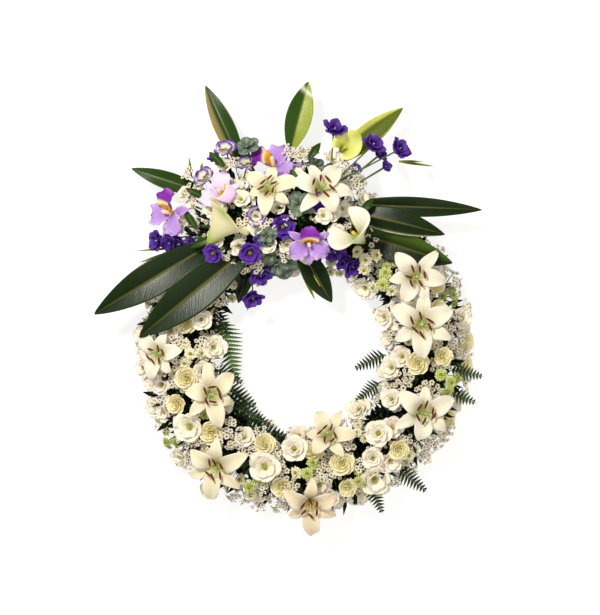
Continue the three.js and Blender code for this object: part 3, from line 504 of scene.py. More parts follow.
def tinted_material(name, roughness, mottle, veins, bump, across=26.0, gloss=0.4, along=2.0, lift=0.0):
    """Base colour is the points' own tint times a mottle, from noise in space, times veins, from noise
    over u and v, each times its own count: few along and many across for veins from root to tip, and the
    other way round for veins that leave a midrib. The same noise drives the bump. Lift is a painted glow:
    an emission of the same colour, at that strength, which lightens the shade of petals as if light passed
    through them."""
    material, nodes, links, shader = plain_material(name, roughness)
    shader.inputs["Specular IOR Level"].default_value = gloss
    tint = read_attribute(nodes, "tint")
    stretched = nodes.new("ShaderNodeVectorMath")
    stretched.operation = "MULTIPLY"
    stretched.inputs[1].default_value = (along, across, BLADES_APART)
    links.new(read_attribute(nodes, "spot").outputs["Vector"], stretched.inputs[0])
    lines = noise(nodes, links, stretched.outputs["Vector"], 1.0, 3.0)
    place = nodes.new("ShaderNodeTexCoord")
    blotch = noise(nodes, links, place.outputs["Object"], BLOTCHES_A_METRE, 4.0)
    both = nodes.new("ShaderNodeMath")
    both.operation = "MULTIPLY"
    links.new(around_one(nodes, links, blotch, mottle, 0.6 * mottle), both.inputs[0])
    links.new(around_one(nodes, links, lines, veins, 0.5 * veins), both.inputs[1])
    shade = nodes.new("ShaderNodeVectorMath")
    shade.operation = "SCALE"
    links.new(tint.outputs["Color"], shade.inputs[0])
    links.new(both.outputs["Value"], shade.inputs["Scale"])
    links.new(shade.outputs["Vector"], shader.inputs["Base Color"])
    # Painted glow: the surface emits its own colour at the lift's strength, which lightens its shade.
    links.new(shade.outputs["Vector"], shader.inputs["Emission Color"])
    shader.inputs["Emission Strength"].default_value = lift
    relief = nodes.new("ShaderNodeBump")
    relief.inputs["Strength"].default_value = bump
    relief.inputs["Distance"].default_value = VEIN_RELIEF
    links.new(lines, relief.inputs["Height"])
    links.new(relief.outputs["Normal"], shader.inputs["Normal"])
    return material


SKINS = [
    # The petals' lift is a painted glow, an emission that lightens their shade.
    tinted_material("petal", roughness=0.55, mottle=0.06, veins=0.1, bump=0.5, gloss=0.25, lift=0.05),
    tinted_material("leaf", roughness=0.5, mottle=0.25, veins=0.2, bump=0.3, across=14.0, gloss=0.15),
    tinted_material(
        "waxy leaf", roughness=0.3, mottle=0.16, veins=0.4, bump=0.6, across=1.5, along=75.0, gloss=0.2
    ),
    tinted_material("stem", roughness=0.5, mottle=0.15, veins=0.0, bump=0.0),
]
PETAL, LEAF, WAXY, STEM = range(4)
STEM_GREEN = rgb("#43602a")


# %% One piece from its arrays
def mesh_piece(name, soup, slot, *nodes):
    """Makes one object of a soup, rides it on the frame, and hides the CAD nodes that it stands for."""
    points = np.concatenate(soup.points) * MM + ring_centre
    faces = [face for block in soup.faces for face in block.tolist()]
    mesh = bpy.data.meshes.new(name)
    mesh.from_pydata(points.tolist(), [], faces)
    mesh.polygons.foreach_set("material_index", np.concatenate(soup.skins).astype(np.int32))
    mesh.polygons.foreach_set("use_smooth", np.ones(len(faces), bool))
    tint = mesh.color_attributes.new("tint", "FLOAT_COLOR", "POINT")
    colours = np.ones((len(points), 4))
    colours[:, :3] = np.clip(np.concatenate(soup.tints), 0, 1)
    tint.data.foreach_set("color", colours.ravel())
    spot = mesh.attributes.new("spot", "FLOAT_VECTOR", "POINT")
    spot.data.foreach_set("vector", np.concatenate(soup.spots).ravel())
    for skin in SKINS:
        mesh.materials.append(skin)
    mesh.update()
    thing = bpy.data.objects.new(name, mesh)
    bpy.context.scene.collection.objects.link(thing)
    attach(thing, "root")
    if nodes:
        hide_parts(*nodes)
    return thing


# %% [markdown]
# ## The blooms, one kind at a time
#
# A lily has three broad petals over three narrow ones, all rising from a green throat and curling back
# at their tips. Six filaments carry maroon anthers that lie across them, and the pistil stands a little
# taller.

# %% Lily
WHITE, CREAM, PEACH = rgb("#f3ecdc"), rgb("#f1e4c6"), rgb("#efd8b8")
THROAT, RIB = rgb("#c2c67a"), rgb("#dfe2ac")
ANTHER, FILAMENT, PISTIL = rgb("#5e1d10"), rgb("#d3dc9c"), rgb("#c9cf8c")
SHADED, TAN_THROAT, LILY_EDGE = rgb("#c6bfa4"), rgb("#c39a5e"), rgb("#f8f5ec")


def lily(soup, look):
    """Petals follow cubics that rise steeply from the throat and turn outwards, close to the solid's
    own. Filaments follow cubics too. An anther is a tube that swells in its middle, and the anthers lie
    nearly along the wreath's length."""
    tip = {"cream": CREAM, "peach": PEACH}.get(look, WHITE)
    throat = TAN_THROAT if look == "peach" else THROAT

    def colour(u, v):
        base = mix(tip, LILY_EDGE, 0.6 * np.abs(v) ** 2)
        base = mix(base, SHADED, 0.65 * np.exp(-((u / 0.5) ** 2)))
        ribbed = mix(base, RIB, 0.8 * np.exp(-((v / 0.15) ** 2)) * (1 - u) ** 0.6)
        return mix(ribbed, throat, np.exp(-((u / 0.2) ** 2)))

    broad = [(6, 24), (20, 68), (54, 80), (80, 42)]
    narrow = [(6, 22), (24, 58), (54, 68), (78, 36)]
    common = dict(rows=16, cols=9, root_half=4.6, crease=2.0, ruffle=3.4, waves=1.6, uneven=0.12, sway=8)
    whorl(soup, 3, 60, colour, curve=narrow, width=17, cup=0.1, fullness=1.0, **common)
    whorl(soup, 3, 0, colour, curve=broad, width=23.5, cup=0.22, fullness=1.1, **common)
    add_tube(soup, upright(-8, 6, 26), [2.2, 3.6, 8.2], mix(throat, WHITE, 0.35), 12)
    u = np.linspace(0, 1, 9)
    swell = 3.1 * np.sqrt(1.02 - np.linspace(-1, 1, 7) ** 2)
    along = soup.basis.T @ HEADWARD
    hang = np.arctan2(along[1], along[0]) + rng.uniform(-0.5, 0.5)
    for k in range(6):
        angle = np.radians(60 * k + rng.normal(0, 9))
        line = cubic([(3, 22), (8, 50), (14, 62), (22 + rng.normal(0, 2), 72)], u)
        path = np.stack([line[:, 0] * np.cos(angle), line[:, 0] * np.sin(angle), line[:, 1]], -1)
        add_tube(soup, path, np.full(9, 0.8), FILAMENT, 6)
        lean = hang + np.radians(rng.normal(0, 28))
        bar = np.array([np.cos(lean), np.sin(lean), rng.normal(0, 0.15)])
        ends = path[-1] + np.linspace(-12, 12, 7)[:, None] * bar
        add_tube(soup, ends, swell, ANTHER, 7)
    add_tube(soup, upright(20, 60, 78, 82), [1.4, 1.2, 1.5, 2.8], PISTIL, 8)


# %% [markdown]
# A garden rose folds its petals in whorls that grow smaller and more upright towards the heart, where
# the last ones are rolled into a spiral. The rims turn outwards a little, and the heart is a warmer
# cream.

# %% Rose
ROSE_RIM, ROSE_HEART, ROSE_HIP = rgb("#fbf5da"), rgb("#f3e89e"), rgb("#7f9a4a")


def rose(soup, look):
    """Four whorls whose cubic midlines close in from the rim to the heart, and a spiral sheet: its
    radius grows and its height falls with the angle."""

    def colour(u, v):
        return mix(ROSE_HEART, ROSE_RIM, 0.25 + 0.75 * u**1.5)

    def heart(u, v):
        return mix(ROSE_HEART, ROSE_RIM, 0.1 + 0.5 * u**3)

    outmost = [(7, 7), (24, 6), (29, 31), (38, 33)]
    second = [(7, 10), (22, 10), (23, 36), (31, 39)]
    third = [(5, 12), (17, 14), (16, 40), (23, 42)]
    inmost = [(4, 14), (11, 16), (9, 42), (15, 44)]
    common = dict(rows=9, cols=9, root_half=5, blunt=0.5, ruffle=0.8, waves=1.2, fullness=1.6)
    whorl(soup, 5, 0, colour, curve=outmost, width=21, lap=0.22, cup=0.12, **common)
    whorl(soup, 5, 36, colour, curve=second, width=18, lap=0.26, cup=0.2, **common)
    whorl(soup, 5, 10, colour, curve=third, width=14, lap=0.28, cup=0.3, **common)
    whorl(soup, 4, 50, heart, curve=inmost, width=10, lap=0.3, cup=0.35, **common)
    turn = np.linspace(0, 3.4 * np.pi, 26)[None, None, :]
    rise = np.linspace(0, 1, 6)[None, :, None]
    reach = (2 + 0.62 * turn) * (0.75 + 0.25 * rise)
    height = 16 + 27 * rise - 0.35 * turn * rise
    roll = np.stack(np.broadcast_arrays(reach * np.cos(turn), reach * np.sin(turn), height), -1)
    u, v = uv_of(roll)
    add_sheets(soup, roll[:, :, ::-1], heart(u, v), 0.8)
    add_tube(soup, upright(0, 5, 12, 30), [2.2, 7, 9, 4], mix(ROSE_HIP, ROSE_RIM, 0.3), 12)


# %% [markdown]
# Lisianthus opens as a loose cup of thin, waved petals round a thick, two-lobed pistil. In the ring they
# are white or blush with a yellow-green heart. In the crest some are deep violet, and some white with a
# violet margin.

# %% Lisianthus
VIOLET, DEEP_VIOLET, PALE_VIOLET = rgb("#623aa6"), rgb("#34196a"), rgb("#a88ada")


def lisianthus(soup, look):
    """Two whorls of broad petals on cubics that open outwards, with edges that wave, round a short
    pistil. The plain look has a third, upright whorl at its heart."""

    def colour(u, v):
        if look == "dark":
            return mix(DEEP_VIOLET, VIOLET, u**1.2 + 0.2 * np.abs(v))
        if look == "picotee":
            margin = np.clip((u - 0.62) / 0.25, 0, 1) + np.clip((np.abs(v) - 0.75) / 0.3, 0, 1) * u
            return mix(mix(rgb("#dfe6c0"), WHITE, u * 2.5), VIOLET, margin)
        if look == "blush":
            return mix(mix(rgb("#c4c48a"), rgb("#efe2cf"), u * 2.6), rgb("#fbf3ea"), u)
        return mix(mix(rgb("#b4be72"), WHITE, u * 2.6), rgb("#fbf5e6"), u)

    outer = [(5, 10), (17, 14), (24, 32), (41, 33)]
    inner = [(4, 11), (11, 16), (14, 34), (25, 40)]
    heart = [(3, 12), (7, 18), (9, 32), (15, 38)]
    common = dict(rows=10, cols=9, root_half=4, blunt=0.55, uneven=0.06, fullness=1.5)
    whorl(soup, 5, 0, colour, curve=outer, width=22, lap=0.2, ruffle=3.4, waves=2.2, frill=2.4, **common)
    whorl(soup, 5, 36, colour, curve=inner, width=17, lap=0.24, ruffle=2.8, waves=2.0, frill=2.2, **common)
    if look is None:
        heart_waves = dict(ruffle=2, waves=1.8, frill=1.8)
        whorl(soup, 4, 15, colour, curve=heart, width=11, lap=0.26, **heart_waves, **common)
    green = rgb("#93a24a") if look != "dark" else rgb("#4d5d3a")
    add_tube(soup, upright(5, 9, 14), [2.2, 6, 5], rgb("#8fa357"), 10)
    add_tube(soup, upright(10, 20, 25), [3.6, 3.4, 2.2], green, 10)
    lobes = [(-3.6, 0, 25.5), (-1.5, 0, 28), (1.5, 0, 28), (3.6, 0, 25.5)]
    add_tube(soup, lobes, [1.6, 2.2, 2.2, 1.6], rgb("#aca63a"), 8)
    for angle in np.radians(72 * np.arange(5) + 15):
        spoke = np.array([np.cos(angle), np.sin(angle), 0.0])
        foot, top = 2.5 * spoke + 14 * UP, 7 * spoke + 24 * UP
        add_tube(soup, [foot, (foot + top) / 2, top], [0.6, 0.6, 1.5], rgb("#c4b954"), 5)


# %% [markdown]
# Button chrysanthemums carry dozens of short rays in a tight dome, lime at the heart and paler at the
# rim, or cream. Their heads come four to a stem, each at its own height.

# %% Button chrysanthemum
LIME, PALE_LIME, BUTTON_HEART = rgb("#a3b23c"), rgb("#dde2a0"), rgb("#7a8622")
BUTTON_CREAM, BUTTON_WHITE = rgb("#e9e2b0"), rgb("#fbf6e2")


def star_heads(heads, sides):
    """Centres and facing directions of a bunch's heads: one to each side and one on top, leaning as far
    as they stand out."""
    centres, facings = [], []
    for k in range(sides + 1):
        outward, upward = heads[-1] if k == sides else heads[k % (len(heads) - 1)]
        angle = 2 * np.pi * k / sides
        spoke = np.array([np.cos(angle), np.sin(angle), 0.0])
        centres.append(spoke * outward + UP * upward)
        facings.append(unit(spoke * outward / upward + UP))
    return np.array(centres), np.array(facings)


def frame_for(facing):
    """Any axes, as columns, whose third is the facing direction."""
    right = unit(np.cross([0.31, 0.95, 0.05], facing))
    return np.stack([right, np.cross(facing, right), facing], axis=1)


def santini(soup, look):
    """Each head is three whorls of small rays round a dome, and its stalk is a tube from the common
    stem."""
    centres, facings = star_heads([(22, 30), (23, 33), (22, 36), (0, 46)], 3)
    basis, origin = soup.basis, soup.origin

    def lime_rays(u, v):
        return mix(LIME, PALE_LIME, u**1.5)

    def cream_rays(u, v):
        return mix(BUTTON_CREAM, BUTTON_WHITE, u**1.5)

    creams = {"cream": (0, 1, 2, 3), "lime": ()}.get(look, (1, 2))
    common = dict(rows=4, cols=3, root_half=1.2, blunt=0.6, uneven=0.08, cup=0.4, thick=0.5)
    for k, (centre, facing) in enumerate(zip(centres, facings)):
        rays = cream_rays if k in creams else lime_rays
        add_tube(soup, [(0, 0, 0), 0.5 * centre, centre - 2 * facing], [2, 1.6, 2.4], STEM_GREEN, 7, STEM)
        soup.stand(basis @ frame_for(facing), origin + basis @ centre)
        whorl(soup, 15, 0, rays, curve=[(3, 0), (8, 1), (12, 2), (15, 1)], width=3.0, **common)
        whorl(soup, 13, 12, rays, curve=[(3, 1), (7, 4), (10, 5), (12, 4.5)], width=2.6, **common)
        whorl(soup, 10, 5, rays, curve=[(2, 3), (4, 6), (6, 7.5), (8, 7)], width=2.2, **common)
        add_tube(soup, upright(-2, 3, 6, 7.5), [3, 5.5, 4.5, 1.5], BUTTON_HEART, 10)
        soup.stand(basis, origin)


# %% [markdown]
# The filler is a branching spray of tiny five-petalled flowers with dark eyes. There are hundreds, so
# one floret has fewer than sixty faces: five flat petals and a raised eye.

# %% Small filler flowers
FILLER_WHITE, FILLER_CREAM, FILLER_EYE = rgb("#fdf5e4"), rgb("#f0e4c4"), rgb("#454414")


def floret_shape():
    """One floret of radius 1: five wide blunt petals, each a flat ten-faced solid, round an eight-faced
    eye."""
    rim = [(0.08, 0, 0), (0.6, 0.46, 0.12), (0.95, 0.3, 0.06), (0.95, -0.3, 0.06), (0.6, -0.46, 0.12)]
    petal = np.array(rim + [(0.6, 0, 0.16), (0.6, 0, -0.02)])
    each, eye = len(petal), 5 * len(petal)
    points, faces = [], []
    for k in range(5):
        a = 2 * np.pi * k / 5
        turn = np.array([[np.cos(a), -np.sin(a), 0], [np.sin(a), np.cos(a), 0], [0, 0, 1]])
        points.append(petal @ turn.T)
        for i in range(5):
            near, far = each * k + i, each * k + (i + 1) % 5
            faces += [(each * k + 5, far, near), (each * k + 6, near, far)]
    angles = np.pi / 2 * np.arange(4)
    ring = np.stack([0.21 * np.cos(angles), 0.21 * np.sin(angles), 0.1 + 0 * angles], -1)
    points.append(np.concatenate([ring, [(0, 0, 0.26), (0, 0, -0.12)]]))
    for i in range(4):
        near, far = eye + i, eye + (i + 1) % 4
        faces += [(eye + 4, near, far), (eye + 5, far, near)]
    return np.concatenate(points), np.array(faces), np.arange(eye + 6) >= eye


FLORET_POINTS, FLORET_FACES, FLORET_EYE = floret_shape()


def add_florets(soup, centres, facings, radii):
    """Many florets at once: each copy of the shape is scaled, spun at random and turned to face its
    way."""
    n = len(centres)
    right = unit(np.cross(facings, rng.normal(size=(n, 3))))
    axes = np.stack([right, np.cross(facings, right), facings], axis=-1) * radii[:, None, None]
    points = np.einsum("nij,pj->npi", axes, FLORET_POINTS) + centres[:, None]
    white = mix(FILLER_WHITE, FILLER_CREAM, rng.random((n, 1)) ** 3)
    colour = np.where(FLORET_EYE[None, :, None], FILLER_EYE, white)
    faces = (FLORET_FACES[None] + (len(FLORET_POINTS) * np.arange(n))[:, None, None]).reshape(-1, 3)
    soup.add(points.reshape(-1, 3), [faces], colour.reshape(-1, 3), None, PETAL)


def filler(soup, look):
    """Six tufts on one branching stem, each a cluster of florets round the tuft's middle."""
    centres, facings = star_heads([(30, 24), (26, 30), (0, 36)], 5)
    for centre, facing in zip(centres, facings):
        add_tube(soup, [(0, 0, 0), 0.45 * centre, centre - 5 * facing], [1.8, 1.2, 0.7], STEM_GREEN, 6, STEM)
        axes = frame_for(facing)
        angle = np.radians(60 * np.arange(7) + rng.uniform(0, 60))
        far = np.where(np.arange(7) == 6, 0, 9.0) + rng.normal(0, 1.0, 7)
        height = rng.normal(-1.0, 1.8, 7)
        spots = np.stack([far * np.cos(angle), far * np.sin(angle), height], -1) @ axes.T + centre
        ways = unit(facing + 0.25 * rng.normal(size=(7, 3)))
        for spot in spots:
            add_tube(soup, [centre - 6 * facing, spot], [0.6, 0.5], STEM_GREEN, 3, STEM)
        add_florets(soup, spots, ways, rng.uniform(5.6, 7.2, 7))


# %% [markdown]
# A cattleya orchid has three narrow sepals, two broad ruffled wings, and a frilled lip that rolls round
# the column. It is lilac, and the lip is magenta with a yellow throat.

# %% Cattleya
LILAC, DEEP_LILAC, MAGENTA = rgb("#b890e0"), rgb("#8f5cc4"), rgb("#7c279e")
THROAT_YELLOW = rgb("#e6a41e")


def cattleya(soup, look):
    """Six segments at sixty degrees, on cubics close to the solid's own. The wings wave widely, and the
    lip's end is frilled."""
    main, deep = (rgb("#e6d8ee"), rgb("#c3a6da")) if look == "pale" else (LILAC, DEEP_LILAC)

    def colour(u, v):
        return mix(mix(deep, main, 0.35 + u), rgb("#e2d0f4"), 0.6 * np.abs(v) ** 3)

    def lip_colour(u, v):
        outer = mix(MAGENTA, rgb("#c678d8"), np.clip((u - 0.86) / 0.14, 0, 1) * 0.7)
        if look == "pale":
            outer = mix(rgb("#e9cfee"), rgb("#b76cc8"), 0.3 * u)
        inner = mix(THROAT_YELLOW, rgb("#fbeec0"), np.clip((u - 0.3) / 0.12, 0, 1))
        return mix(inner, outer, np.clip((u - 0.42) / 0.12, 0, 1))

    sepal = dict(curve=[(7, 15), (22, 16), (40, 22), (58, 14)], width=10.5, root_half=3.5, ruffle=2.6)
    for angle in (90, 210, 330):
        whorl(soup, 1, angle, colour, rows=12, cols=7, **sepal)
    wing = dict(curve=[(7, 16), (20, 30), (38, 36), (57, 23)], width=26, root_half=4, cup=0.15)
    wing.update(fullness=1.25, ruffle=6.5, waves=3.2, frill=4.0, frills=4, blunt=0.6)
    for angle in (30, 150):
        whorl(soup, 1, angle, colour, rows=16, cols=13, **wing)
    lip = dict(curve=[(6, 16), (12, 48), (30, 50), (47, 33)], width=23, root_half=7, cup=0.42)
    lip.update(fullness=1.5, ruffle=4, waves=3.5, frill=3.5, frills=5, blunt=0.5)
    whorl(soup, 1, 270, lip_colour, rows=18, cols=15, **lip)
    add_tube(soup, upright(-8, 4, 15), [2.4, 3.4, 7.5], mix(rgb("#9fb06a"), main, 0.5), 10)
    add_tube(soup, upright(12, 24, 40, 44), [5, 4.6, 4.8, 2.4], rgb("#f0dcae"), 10)


# %% [markdown]
# A calla is one broad spathe, rolled into a funnel round a yellow spadix. Its rim flares and turns back,
# one side runs out to a point, and it is lime green where it meets the stem.

# %% Calla
def calla(soup, look):
    """A sheet in polar form: its angle runs from one edge to the other, its radius and height grow with
    u, and the height grows most on the side of the tip. The rim turns out and down over its last
    seventh."""
    body = {"lime": rgb("#e3e48a"), "cream": rgb("#efe7bc")}.get(look, rgb("#f7f5e6"))
    lime = rgb("#9fb832")
    u = np.linspace(0, 1, 26)[None, :, None]
    v = np.linspace(-1, 1, 41)[None, None, :]
    angle = np.radians(150 * v)
    point = np.cos(angle / 2) ** 4
    turned = np.clip((u - 0.86) / 0.14, 0, 1) ** 2
    reach = 5 + 20 * u + 16 * u**4 + 5 * turned
    height = 4 + 62 * u + 34 * u**3 * point - 6 * turned * (1 - point)
    wave = 1.5 * np.sin(3 * angle + 1) * u**3
    grid = np.stack(np.broadcast_arrays(reach * np.cos(angle), reach * np.sin(angle), height + wave), -1)
    uu, vv = uv_of(grid)
    pointed = np.clip((uu - 0.8) * 5, 0, 1) * np.exp(-((vv / 0.16) ** 2))
    tint = mix(body, lime, np.exp(-((uu / 0.42) ** 2)) + 0.9 * pointed)
    add_sheets(soup, grid, tint, 1.2)
    add_tube(soup, upright(-4, 4, 12), [3.2, 5, 7], lime, 12)
    heights = np.linspace(6, 50, 12)
    add_tube(soup, upright(*heights), 4.2 - 1.2 * (heights / 58) ** 3, rgb("#d9c060"), 12)


# %% [markdown]
# The violet spikes carry ruffled funnels of five lobes with a paler throat. Eucalyptus shoots end in
# round, waxy, grey-green leaves.

# %% Violet florets and eucalyptus
def gladiolus(soup, look):
    """Two whorls of lobes on cubics that flare at the rim, the inner one smaller, with waved edges."""

    def colour(u, v):
        rim = np.clip((u - 0.45) * 2, 0, 1) + 0.2 * np.abs(v)
        return mix(mix(PALE_VIOLET, DEEP_VIOLET, u * 3), VIOLET, rim)

    outer = [(4, 9), (14, 20), (18, 32), (31, 33)]
    inner = [(3, 10), (8, 20), (11, 34), (20, 38)]
    common = dict(rows=9, cols=7, root_half=3, uneven=0.08, blunt=0.6, fullness=1.3)
    whorl(soup, 5, 0, colour, curve=outer, width=14, lap=0.15, ruffle=2.4, waves=1.8, frill=1.5, **common)
    whorl(soup, 5, 36, colour, curve=inner, width=11, lap=0.2, ruffle=1.8, waves=1.6, frill=1.2, **common)
    add_tube(soup, upright(3, 8, 12), [1.8, 4.6, 4.4], rgb("#56702f"), 10)
    add_tube(soup, upright(8, 24, 30), [1.5, 1.0, 1.6], rgb("#cbb8ea"), 6)


def eucalyptus(soup, look):
    """A whorl of round leaves and a smaller, steeper one above it."""
    bloom, back = rgb("#77897a"), rgb("#51665a")

    def colour(u, v):
        return mix(mix(back, bloom, 0.3 + 0.6 * u), rgb("#a3b09c"), 0.8 * np.exp(-((v / 0.07) ** 2)))

    outer = [(4, 10), (14, 10), (24, 16), (38, 16)]
    inner = [(3, 12), (8, 20), (14, 28), (22, 28)]
    common = dict(rows=9, cols=7, root_half=2, blunt=0.5, crease=0.8, fullness=1.2, skin=LEAF)
    whorl(soup, 5, 0, colour, curve=outer, width=17, lap=0.1, **common)
    whorl(soup, 4, 40, colour, curve=inner, width=11, lap=0.15, **common)
    add_tube(soup, upright(4, 12, 30), [2, 2.6, 1.2], rgb("#8a8f5c"), 8, STEM)


# %% [markdown]
# ## Planting the blooms
#
# Each node of the frame becomes one piece: its heads in their places, and the stems that carry them into
# the foam.

# %% Plant every spray
MAKERS = dict(
    lily=lily,
    rose=rose,
    lisianthus=lisianthus,
    santini=santini,
    filler=filler,
    cattleya=cattleya,
    calla=calla,
    gladiolus=gladiolus,
    eucalyptus=eucalyptus,
)
standing = []


def add_stem(soup, bed, fork):
    """A tube from a fork to its stop in the foam, slimmer below."""
    core = core_of(bed, fork[0], fork[1])
    stop = core + unit(fork - core) * STEM_STOP
    steps = np.linspace(0, 1, 5)[:, None]
    add_tube(soup, stop + (fork - stop) * steps, np.linspace(1.5, 2.3, 5), STEM_GREEN, 8, STEM)


def add_branch(soup, fork, end, radius, sides=7):
    """A straight tube of one thickness, from a fork to where a head or a leaf begins."""
    steps = np.linspace(0, 1, 5)[:, None]
    add_tube(soup, fork + (end - fork) * steps, np.full(5, radius), STEM_GREEN, sides, STEM)


sprays = []
for name, bed, kind, rows in PLAN:
    sprays += [(name.format(k), bed, kind, heads) for k, heads in enumerate(rows, 1)]
for node, bed, kind, heads in sprays:
    soup = Soup()
    placed, fork = stood_heads(node, bed, kind, heads)
    for head in placed:
        soup.stand(head["basis"], head["foot"])
        MAKERS[kind](soup, head["look"])
        soup.stand(np.eye(3), np.zeros(3))
        if len(placed) > 1:
            add_branch(soup, fork, head["end"], 1.8)
        standing.append((head["foot"] + head["basis"][:, 2] * KINDS[kind]["depth"], kind, head["size"]))
    add_stem(soup, bed, fork)
    slot = "violet" if "violet" in node or kind == "gladiolus" else kind
    mesh_piece(node + "_fine", soup, slot, node)
print("planted", len(sprays), "sprays with", len(standing), "heads")

# %% [markdown]
# ## Leaves and fronds
#
# The strap leaves are long, folded along a pale midrib and glossy. Three at the top are partly
# yellow-green or tan, and one at the right has a pale lower margin. Fern fronds are fine-toothed and
# dark, and droop over the hole and the rim.

# %% Strap leaves
LEAF_DARK, LEAF_MID, LEAF_OLIVE = rgb("#16230e"), rgb("#2d4817"), rgb("#6f7432")
LEAF_LIME, LEAF_TAN, LEAF_PALE = rgb("#9cab3e"), rgb("#978a58"), rgb("#c8ccae")
STRAPS = {
    "left": [
        dict(root=(-215, 225, 128), tip=(-462, 77, 128), width=78, arch=18, look="sheen"),
        dict(root=(-130, 216, 140), tip=(-363, 26, 140), width=88, arch=16, look="sheen"),
    ],
    "top": [
        dict(root=(-225, 345, 94), tip=(-383, 398, 86), width=40, arch=8, look="mid"),
        dict(root=(-142, 412, 90), tip=(-220, 581, 82), width=46, arch=8, look="tan"),
        dict(root=(-30, 446, 84), tip=(7, 590, 80), width=58, arch=8, look="half"),
        dict(root=(70, 415, 90), tip=(216, 532, 84), width=52, arch=8, look="lime"),
    ],
    "right": [
        dict(root=(112, 318, 104), tip=(389, 306, 112), width=44, arch=10),
        dict(root=(100, 300, 126), tip=(306, 251, 140), width=58, arch=10, roll=-14, look="pale"),
        dict(root=(96, 262, 108), tip=(323, 189, 134), width=72, arch=12, roll=6, look="edged"),
    ],
    "low": [
        dict(root=(-12, 222, 106), tip=(59, 103, 92), width=54, arch=8),
        dict(root=(-118, 212, 100), tip=(-147, 101, 92), width=40, arch=6),
    ],
}


def strap_leaf(soup, leaf, move):
    """Points go from root to tip along a straight span, arched as 4u(1-u), folded up at both sides of
    the midrib by a quarter of the half width, and waved a little along the edges. Returns where its
    stalk ends."""
    root, tip = np.array(leaf["root"], float) + move, np.array(leaf["tip"], float) + move
    span = tip - root
    ahead = unit(span)
    side = turn_about(unit(np.cross(UP, ahead)), ahead, np.radians(leaf.get("roll", 0)))
    out = np.cross(ahead, side)
    u = np.linspace(0, 1, 44)[:, None]
    v = np.linspace(-1, 1, 17)[None, :]
    half = 0.5 * leaf["width"] * np.sin(np.pi * (0.1 + 0.895 * u)) ** 0.8
    fold = 0.25 * half * (np.sqrt(v**2 + 0.004) - 0.06)
    wave = 1.6 * np.sin(9 * u + 3 * np.sign(v)) * np.abs(v) ** 2 * np.sin(np.pi * u)
    rise = 4 * leaf["arch"] * u * (1 - u) + fold + wave
    grid = root + u[..., None] * span + (v * half)[..., None] * side + rise[..., None] * out
    uu, vv = np.broadcast_arrays(u, v)
    look = leaf.get("look")
    base = {"mid": LEAF_MID, "lime": mix(LEAF_MID, LEAF_LIME, 0.35)}.get(look, LEAF_DARK)
    tint = mix(base, LEAF_MID, 0.35 * np.abs(vv))
    # Painted reflection: the lower half of the two left leaves is mixed towards grey-blue, for a sheen of
    # sky reflected in their gloss.
    if look == "sheen":
        tint = mix(tint, rgb("#2c3d30"), 0.4 * np.clip(2 * vv, 0, 1))
    if look == "edged":
        tint = mix(tint, rgb("#4f6a24"), 0.7 * np.clip(1.6 * vv, 0, 1))
    if look == "half":
        tint = mix(LEAF_MID * 1.3, LEAF_LIME, np.clip(0.5 - 6 * (vv + 0.05), 0, 1))
        # A painted highlight: a pale band across the leaf near its tip stands for the glare on a curled tip.
        tint = mix(tint, rgb("#eef0d8"), 0.85 * np.exp(-(((uu - 0.86 - 0.05 * vv) / 0.04) ** 2)))
    if look == "tan":
        tint = mix(LEAF_MID, LEAF_TAN, np.clip((vv - 0.25) * 3, 0, 1))
    if look == "lime":
        tint = mix(tint, rgb("#d6da6a"), np.clip((np.abs(vv + 0.2) - 0.6) * 4, 0, 1))
    if look == "pale":
        tint = mix(tint, LEAF_PALE, np.clip((-vv - 0.86) * 12, 0, 1))
    tint = mix(tint, LEAF_OLIVE, 0.9 * np.exp(-((vv / 0.045) ** 2)) * (1 - 0.6 * uu))
    add_sheets(soup, grid[None], tint[None], 0.9, WAXY, feather=0.12)
    return root + ahead * 6


for side, leaves in STRAPS.items():
    node = "strap_leaves_" + side
    middle = np.mean([leaf["root"] for leaf in leaves], axis=0)
    core = core_of("crest", middle[0], middle[1])
    fork = core + unit(middle - core) * (CREST_SURFACE + STRAP_FORK)
    move = move_of(node, "crest", fork, np.array([leaf["tip"] for leaf in leaves], float))
    soup = Soup()
    for leaf in leaves:
        add_branch(soup, fork + move, strap_leaf(soup, leaf, move), 1.9)
    add_stem(soup, "crest", fork + move)
    mesh_piece(node + "_fine", soup, "strap", node)
print("laid", sum(len(leaves) for leaves in STRAPS.values()), "strap leaves")

# %% Fern fronds
FERN_HEIGHT = 72.0
FERNS = [
    (168, [((-186, 60), 285, 140)], "#4d6a2c"),
    (222, [((-179, -97), 322, 110), ((-140, -168), 345, 110)], "#1c3016"),
    (344, [((180, -14), 205, 78), ((168, -76), 218, 70)], "#1e341a"),
    (348, [((318, -50), 348, 76), ((306, -96), 338, 76)], "#2b4622"),
    (302, [((205, -262), 322, 80), ((140, -290), 292, 76)], "#1e341a"),
]


